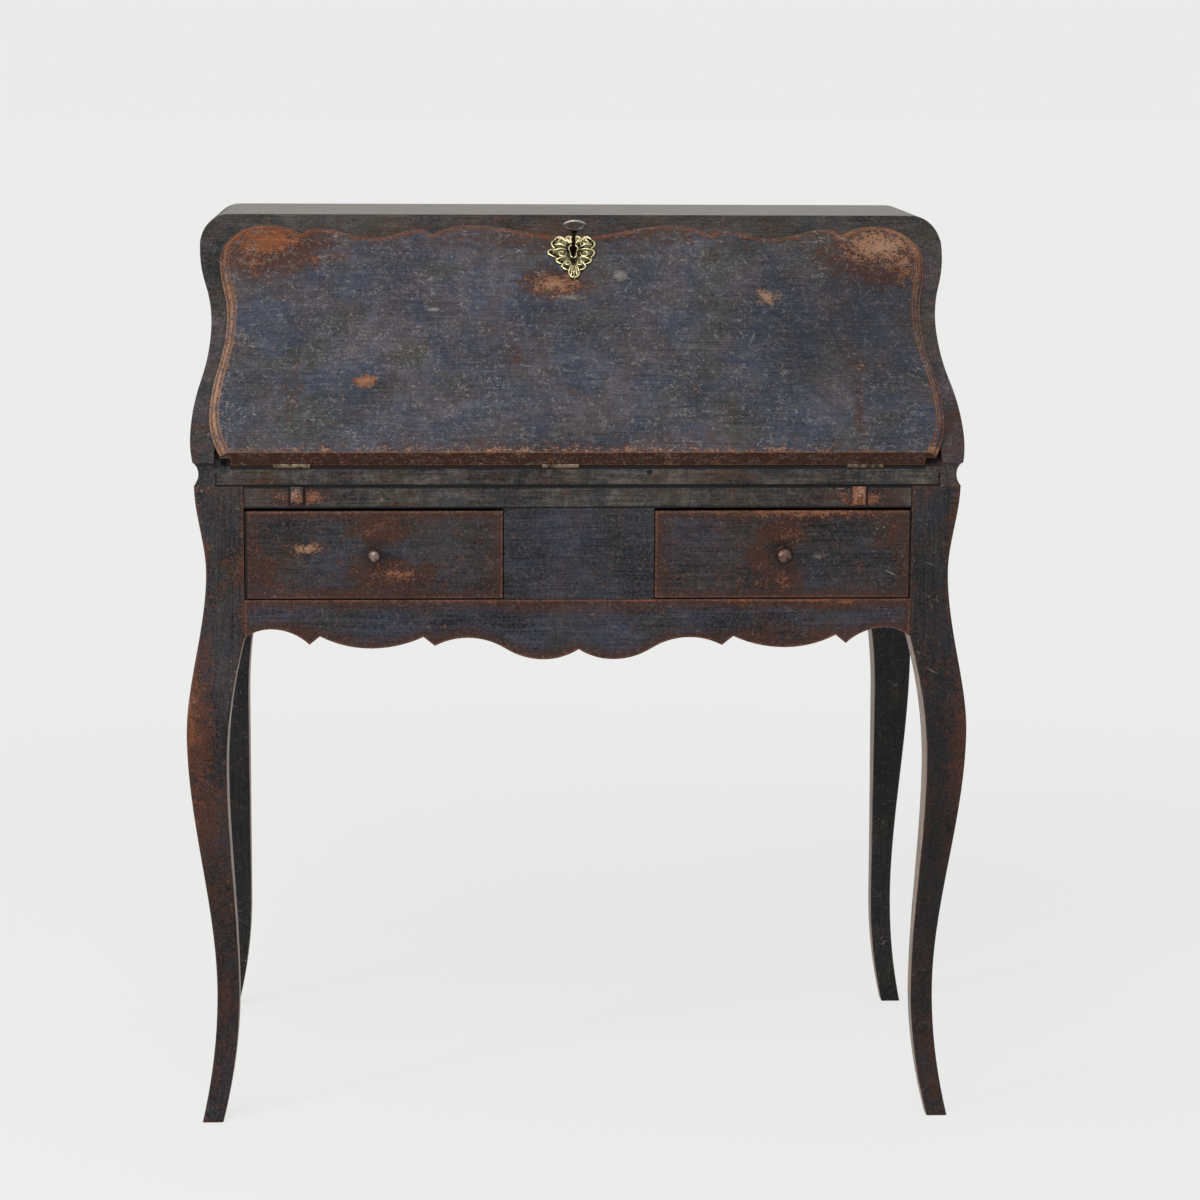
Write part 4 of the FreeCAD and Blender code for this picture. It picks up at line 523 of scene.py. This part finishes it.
# Cast escutcheon: scrolls, leaf fingers and a shell raised on a thin lobed plate, about the keyhole, in mm.
# rings: share of the way from keyhole to rim, and height; arcs: first, middle and last point;
# volutes: middle, outer and inner radius, first and last angle.
cartouche = {
    "up": 281.998, "face": 21.5, "hole": 3.4, "slotHalf": 1.7, "slotEnd": 11.0,
    "rings": [(0.0, 0.0), (0.0, 0.9), (0.25, 1.0), (0.5, 1.2), (0.75, 1.1), (0.93, 0.8), (1.0, 0.5), (1.0, 0.0)],
    "lobes": [((0, 17), (5, 19.5), (10, 16)), ((10, 16), (16.5, 19), (22, 14)), ((22, 14), (25.5, 8), (21, 1)),
              ((21, 1), (24.5, -6), (20, -13)), ((20, -13), (19.5, -19.5), (13, -23)),
              ((13, -23), (12, -29.5), (6, -32)), ((6, -32), (5, -40), (0, -44))],
    "ear": ((21, 1), (30, -5), (20, -13)), "lobeSteps": 10,
    "rim": {"inset": 0.93, "drop": 0.4, "lift": 1.0, "bar": 1.25},
    "volutes": [(13.0, 9.0, 5.4, 1.0, 215, -215), (12.5, -6.5, 5.2, 1.0, 150, 560),
                (7.0, -20.5, 3.9, 0.8, 100, 480)],
    "scroll": {"steps": 26, "lift": 1.2, "rise": 0.9, "bar": 0.95},
    "fingers": [((7.5, 3.0), (20.5, 6.0)), ((7.5, -1.0), (22.0, -2.5)), ((7.0, -12.0), (18.5, -15.5)),
                ((6.0, -15.0), (13.5, -26.0)), ((4.0, 9.0), (17.5, 15.5))],
    "plume": [((0.0, 8.0), (0.0, 17.0)), ((1.6, 8.0), (4.6, 18.0)), ((2.8, 7.4), (9.0, 15.5))],
    "shell": [((0.0, -23.0), (0.0, -42.5)), ((1.2, -23.0), (3.2, -38.5)), ((2.2, -23.0), (5.6, -33.0))],
    "leaf": {"steps": 6, "lift": 1.3, "rise": 0.7, "bend": 1.2,
             "bars": {"fingers": 0.95, "plume": 1.1, "shell": 1.0}},
    "slotEdge": [(4.0, -3.2, 1.4), (3.2, -7.0, 1.5), (2.9, -11.0, 1.5), (0.6, -13.2, 1.4)], "slotBar": 0.9,
    "collar": {"radius": 5.0, "lift": 1.6, "bar": 1.1, "begin": -40, "turn": 260, "steps": 24},
}


def bowed(arc, steps):
    # points of a curve that leaves, passes and ends at the arc's three points
    (ax, ay), (mx, my), (bx, by) = arc
    px, py = 2 * mx - (ax + bx) / 2, 2 * my - (ay + by) / 2
    shares = [i / steps for i in range(steps + 1)]
    return [((1 - t) ** 2 * ax + 2 * t * (1 - t) * px + t * t * bx,
             (1 - t) ** 2 * ay + 2 * t * (1 - t) * py + t * t * by) for t in shares]


def tube(mesh, path, radius, sides=8):
    # rounded bar along a path of (across, up, out), slimmer to its ends
    tip = 0.35
    rings = []
    last = len(path) - 1
    for i, point in enumerate(path):
        ahead = Vector(path[min(i + 1, last)]) - Vector(path[max(i - 1, 0)])
        across = ahead.cross(Vector((0.0, 0.0, 1.0))).normalized()
        slim = radius * (tip + (1 - tip) * math.sin(math.pi * (i + 0.5) / (last + 1)))
        turns = [2 * math.pi * k / sides for k in range(sides)]
        rings.append([mesh.verts.new(Vector(point) + across * slim * math.cos(a)
                                     + Vector((0.0, 0.0, slim * math.sin(a)))) for a in turns])
    for low, high in zip(rings, rings[1:]):
        for k in range(sides):
            mesh.faces.new((low[k], low[(k + 1) % sides], high[(k + 1) % sides], high[k]))
    mesh.faces.new(rings[0][::-1])
    mesh.faces.new(rings[-1])


def keyholeEdge(direction):
    # distance from the keyhole's middle to its edge, round hole with a slot below
    fromDown = abs(math.remainder(direction + math.pi / 2, 2 * math.pi))
    if fromDown >= math.pi / 2:
        return cartouche["hole"]
    slot = min(cartouche["slotEnd"] / math.cos(fromDown),
               cartouche["slotHalf"] / max(math.sin(fromDown), 1e-6))
    return max(cartouche["hole"], slot)


cast = bmesh.new()
steps = cartouche["lobeSteps"]
rightLobes = cartouche["lobes"]
leftLobes = rightLobes[:3] + [cartouche["ear"]] + rightLobes[4:]
rim = [p for arc in rightLobes for p in bowed(arc, steps)[:-1]]
rim += [(-x, y) for arc in leftLobes[::-1] for x, y in bowed(arc, steps)[::-1][:-1]]
loops = []
for share, high in cartouche["rings"]:
    loop = []
    for x, y in rim:
        inner = keyholeEdge(math.atan2(y, x)) / math.hypot(x, y)
        reach = inner + (1 - inner) * share
        loop.append(cast.verts.new((x * reach, y * reach, high)))
    loops.append(loop)
for low, high in zip(loops, loops[1:] + loops[:1]):
    for k in range(len(rim)):
        after = (k + 1) % len(rim)
        cast.faces.new((low[k], low[after], high[after], high[k]))

edging, scroll, leaf, collar = (cartouche[key] for key in ("rim", "scroll", "leaf", "collar"))
for side, lobes in ((1, rightLobes), (-1, leftLobes)):
    for arc in lobes:
        tube(cast, [(side * x * edging["inset"], y * edging["inset"] - edging["drop"], edging["lift"])
                    for x, y in bowed(arc, steps)], edging["bar"])
    for x, y, wide, tight, begin, finish in cartouche["volutes"]:
        path = []
        for i in range(scroll["steps"] + 1):
            t = i / scroll["steps"]
            angle = math.radians(begin + (finish - begin) * t)
            size = wide + (tight - wide) * t
            path.append((side * (x + size * math.cos(angle)), y + size * math.sin(angle),
                         scroll["lift"] + scroll["rise"] * t))
        tube(cast, path, scroll["bar"])
    for name, radius in leaf["bars"].items():
        for (ax, ay), (bx, by) in cartouche[name]:
            path = []
            for i in range(leaf["steps"] + 1):
                t = i / leaf["steps"]
                swell = math.sin(math.pi * t)
                path.append((side * (ax + (bx - ax) * t), ay + (by - ay) * t + leaf["bend"] * swell,
                             leaf["lift"] + leaf["rise"] * swell))
            tube(cast, path, radius)
    tube(cast, [(side * x, y, z) for x, y, z in cartouche["slotEdge"]], cartouche["slotBar"])
angles = [math.radians(collar["begin"] + collar["turn"] * i / collar["steps"]) for i in range(collar["steps"] + 1)]
tube(cast, [(collar["radius"] * math.cos(a), collar["radius"] * math.sin(a), collar["lift"]) for a in angles],
     collar["bar"])
bmesh.ops.recalc_face_normals(cast, faces=cast.faces)
bmesh.ops.scale(cast, vec=(mm, mm, mm), verts=cast.verts)
for face in cast.faces:
    face.smooth = True
castMesh = bpy.data.meshes.new("castEscutcheon")
cast.to_mesh(castMesh)
cast.free()
escutcheon = bpy.data.objects.new("castEscutcheon", castMesh)
bpy.context.scene.collection.objects.link(escutcheon)
seat = Matrix.Translation((0.0, cartouche["up"] * mm, cartouche["face"] * mm))
escutcheon.matrix_world = Matrix.Translation(hingeLine) @ fallTurn @ seat

# Gilt brass: bright on the high parts, nearly black wax and dirt in the hollows
gilt = {"hollow": "#1d180b", "high": "#dccfa2", "low": 1.0, "top": 2.3, "soilSize": 2.2, "soil": 0.5,
        "shown": (0.25, 0.85), "roughHollow": 0.6, "roughHigh": 0.24, "relief": 0.3, "reliefDepth": 0.3}
brass, brassTree = newMaterial("castBrass")
brassPlace = put(brassTree, "TexCoord", take="Object")
raised = put(brassTree, "SeparateXYZ", {0: brassPlace}, take=2)
soil = put(brassTree, "TexNoise", {"Vector": brassPlace, "Scale": perMetre(gilt["soilSize"]), "Detail": 3.0})
share = put(brassTree, "MapRange", {"Value": raised, "From Min": gilt["low"] * mm, "From Max": gilt["top"] * mm})
share = put(brassTree, "Math", {0: soil, 1: gilt["soil"], 2: share}, operation="MULTIPLY_ADD")
share = put(brassTree, "MapRange", {"Value": share, "From Min": gilt["shown"][0], "From Max": gilt["shown"][1]})
brassTone = put(brassTree, "Mix", {0: share, 6: linear(gilt["hollow"]), 7: linear(gilt["high"])}, **rgba)
brassRough = put(brassTree, "MapRange", {"Value": share, "To Min": gilt["roughHollow"],
                                         "To Max": gilt["roughHigh"]})
brassBump = put(brassTree, "Bump", {"Strength": gilt["relief"], "Distance": gilt["reliefDepth"] * mm,
                                    "Height": soil})
brassShader = put(brassTree, "BsdfPrincipled", {"Base Color": brassTone, "Roughness": brassRough,
                                                "Normal": brassBump, "Metallic": 1.0})
put(brassTree, "OutputMaterial", {"Surface": brassShader})
castMesh.materials.append(brass)
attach(escutcheon, "fall")
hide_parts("escutcheon")
print("escutcheon cast:", len(castMesh.polygons), "faces")

# Stage: pale studio floor that keeps a soft shadow and runs out into the white surround
stage = {"colour": "#ececeb", "near": 1.1, "far": 2.6, "reach": 40.0, "even": 0.86}
bpy.ops.mesh.primitive_circle_add(vertices=96, radius=stage["reach"], fill_type="NGON")
floor = bpy.context.object
floor.name = "studioFloor"
floorMaterial, floorTree = newMaterial("paleStudioFloor")
floorPlace = put(floorTree, "NewGeometry", take="Position")
away = put(floorTree, "VectorMath", {0: floorPlace}, take="Value", operation="LENGTH")
fade = put(floorTree, "MapRange", {"Value": away, "From Min": stage["near"], "From Max": stage["far"]},
           interpolation_type="SMOOTHSTEP")
matt = put(floorTree, "BsdfDiffuse", {"Color": linear(stage["colour"])})
glow = put(floorTree, "Emission", {"Color": linear(stage["colour"]), "Strength": 1.0})
even = put(floorTree, "MapRange", {"Value": fade, "To Min": stage["even"], "To Max": 1.0})
surface = put(floorTree, "MixShader", {0: even, 1: matt, 2: glow})
put(floorTree, "OutputMaterial", {"Surface": surface})
floor.data.materials.append(floorMaterial)

# Surround: even light from all sides, seen and mirrored as the photograph's off-white
surround = {"colour": "#ebebea", "light": 0.62}
world = bpy.data.worlds.new("whiteSurround")
bpy.context.scene.world = world
world.use_nodes = True
sky = world.node_tree
sky.nodes.clear()
shown = 0.0
for ray in ("Is Camera Ray", "Is Glossy Ray", "Is Transmission Ray"):
    shown = put(sky, "Math", {0: shown, 1: put(sky, "LightPath", take=ray)}, operation="MAXIMUM")
lit = put(sky, "Background", {"Color": (1.0, 1.0, 1.0, 1.0), "Strength": surround["light"]})
shownSky = put(sky, "Background", {"Color": linear(surround["colour"]), "Strength": 1.0})
both = put(sky, "MixShader", {0: shown, 1: lit, 2: shownSky})
put(sky, "OutputWorld", {"Surface": both})

lamps = {"key": {"place": (-3.1, -2.4, 2.0), "size": 0.6, "power": 55.0},
         "soft": {"place": (-0.8, -2.6, 3.4), "size": 2.4, "power": 75.0}}
lampAim = Vector((0.0, 0.0, 0.5))
for name, lamp in lamps.items():
    light = bpy.data.lights.new(name + "Lamp", "AREA")
    light.shape = "DISK"
    light.size = lamp["size"]
    light.energy = lamp["power"]
    holder = bpy.data.objects.new(name + "Lamp", light)
    holder.location = lamp["place"]
    holder.rotation_euler = (lampAim - holder.location).to_track_quat("-Z", "Y").to_euler()
    bpy.context.scene.collection.objects.link(holder)

# View: fitted to the photograph's edges, angles in degrees, lens and sensor in mm
view = {"place": (-0.154, -3.8086, 1.1706), "yaw": -2.816, "pitch": -9.476, "roll": 0.31, "lens": 103.05,
        "sensor": 36.0}
camera = bpy.data.cameras.new("photoView")
camera.lens = view["lens"]
camera.sensor_width = view["sensor"]
viewer = bpy.data.objects.new("photoView", camera)
turn = Matrix.Rotation(math.radians(view["yaw"]), 4, "Z")
turn = turn @ Matrix.Rotation(math.radians(90.0 + view["pitch"]), 4, "X")
turn = turn @ Matrix.Rotation(math.radians(view["roll"]), 4, "Z")
viewer.matrix_world = Matrix.Translation(view["place"]) @ turn
bpy.context.scene.collection.objects.link(viewer)
bpy.context.scene.camera = viewer
bpy.context.scene.view_settings.view_transform = "Standard"
print("stage, lamps and camera set")
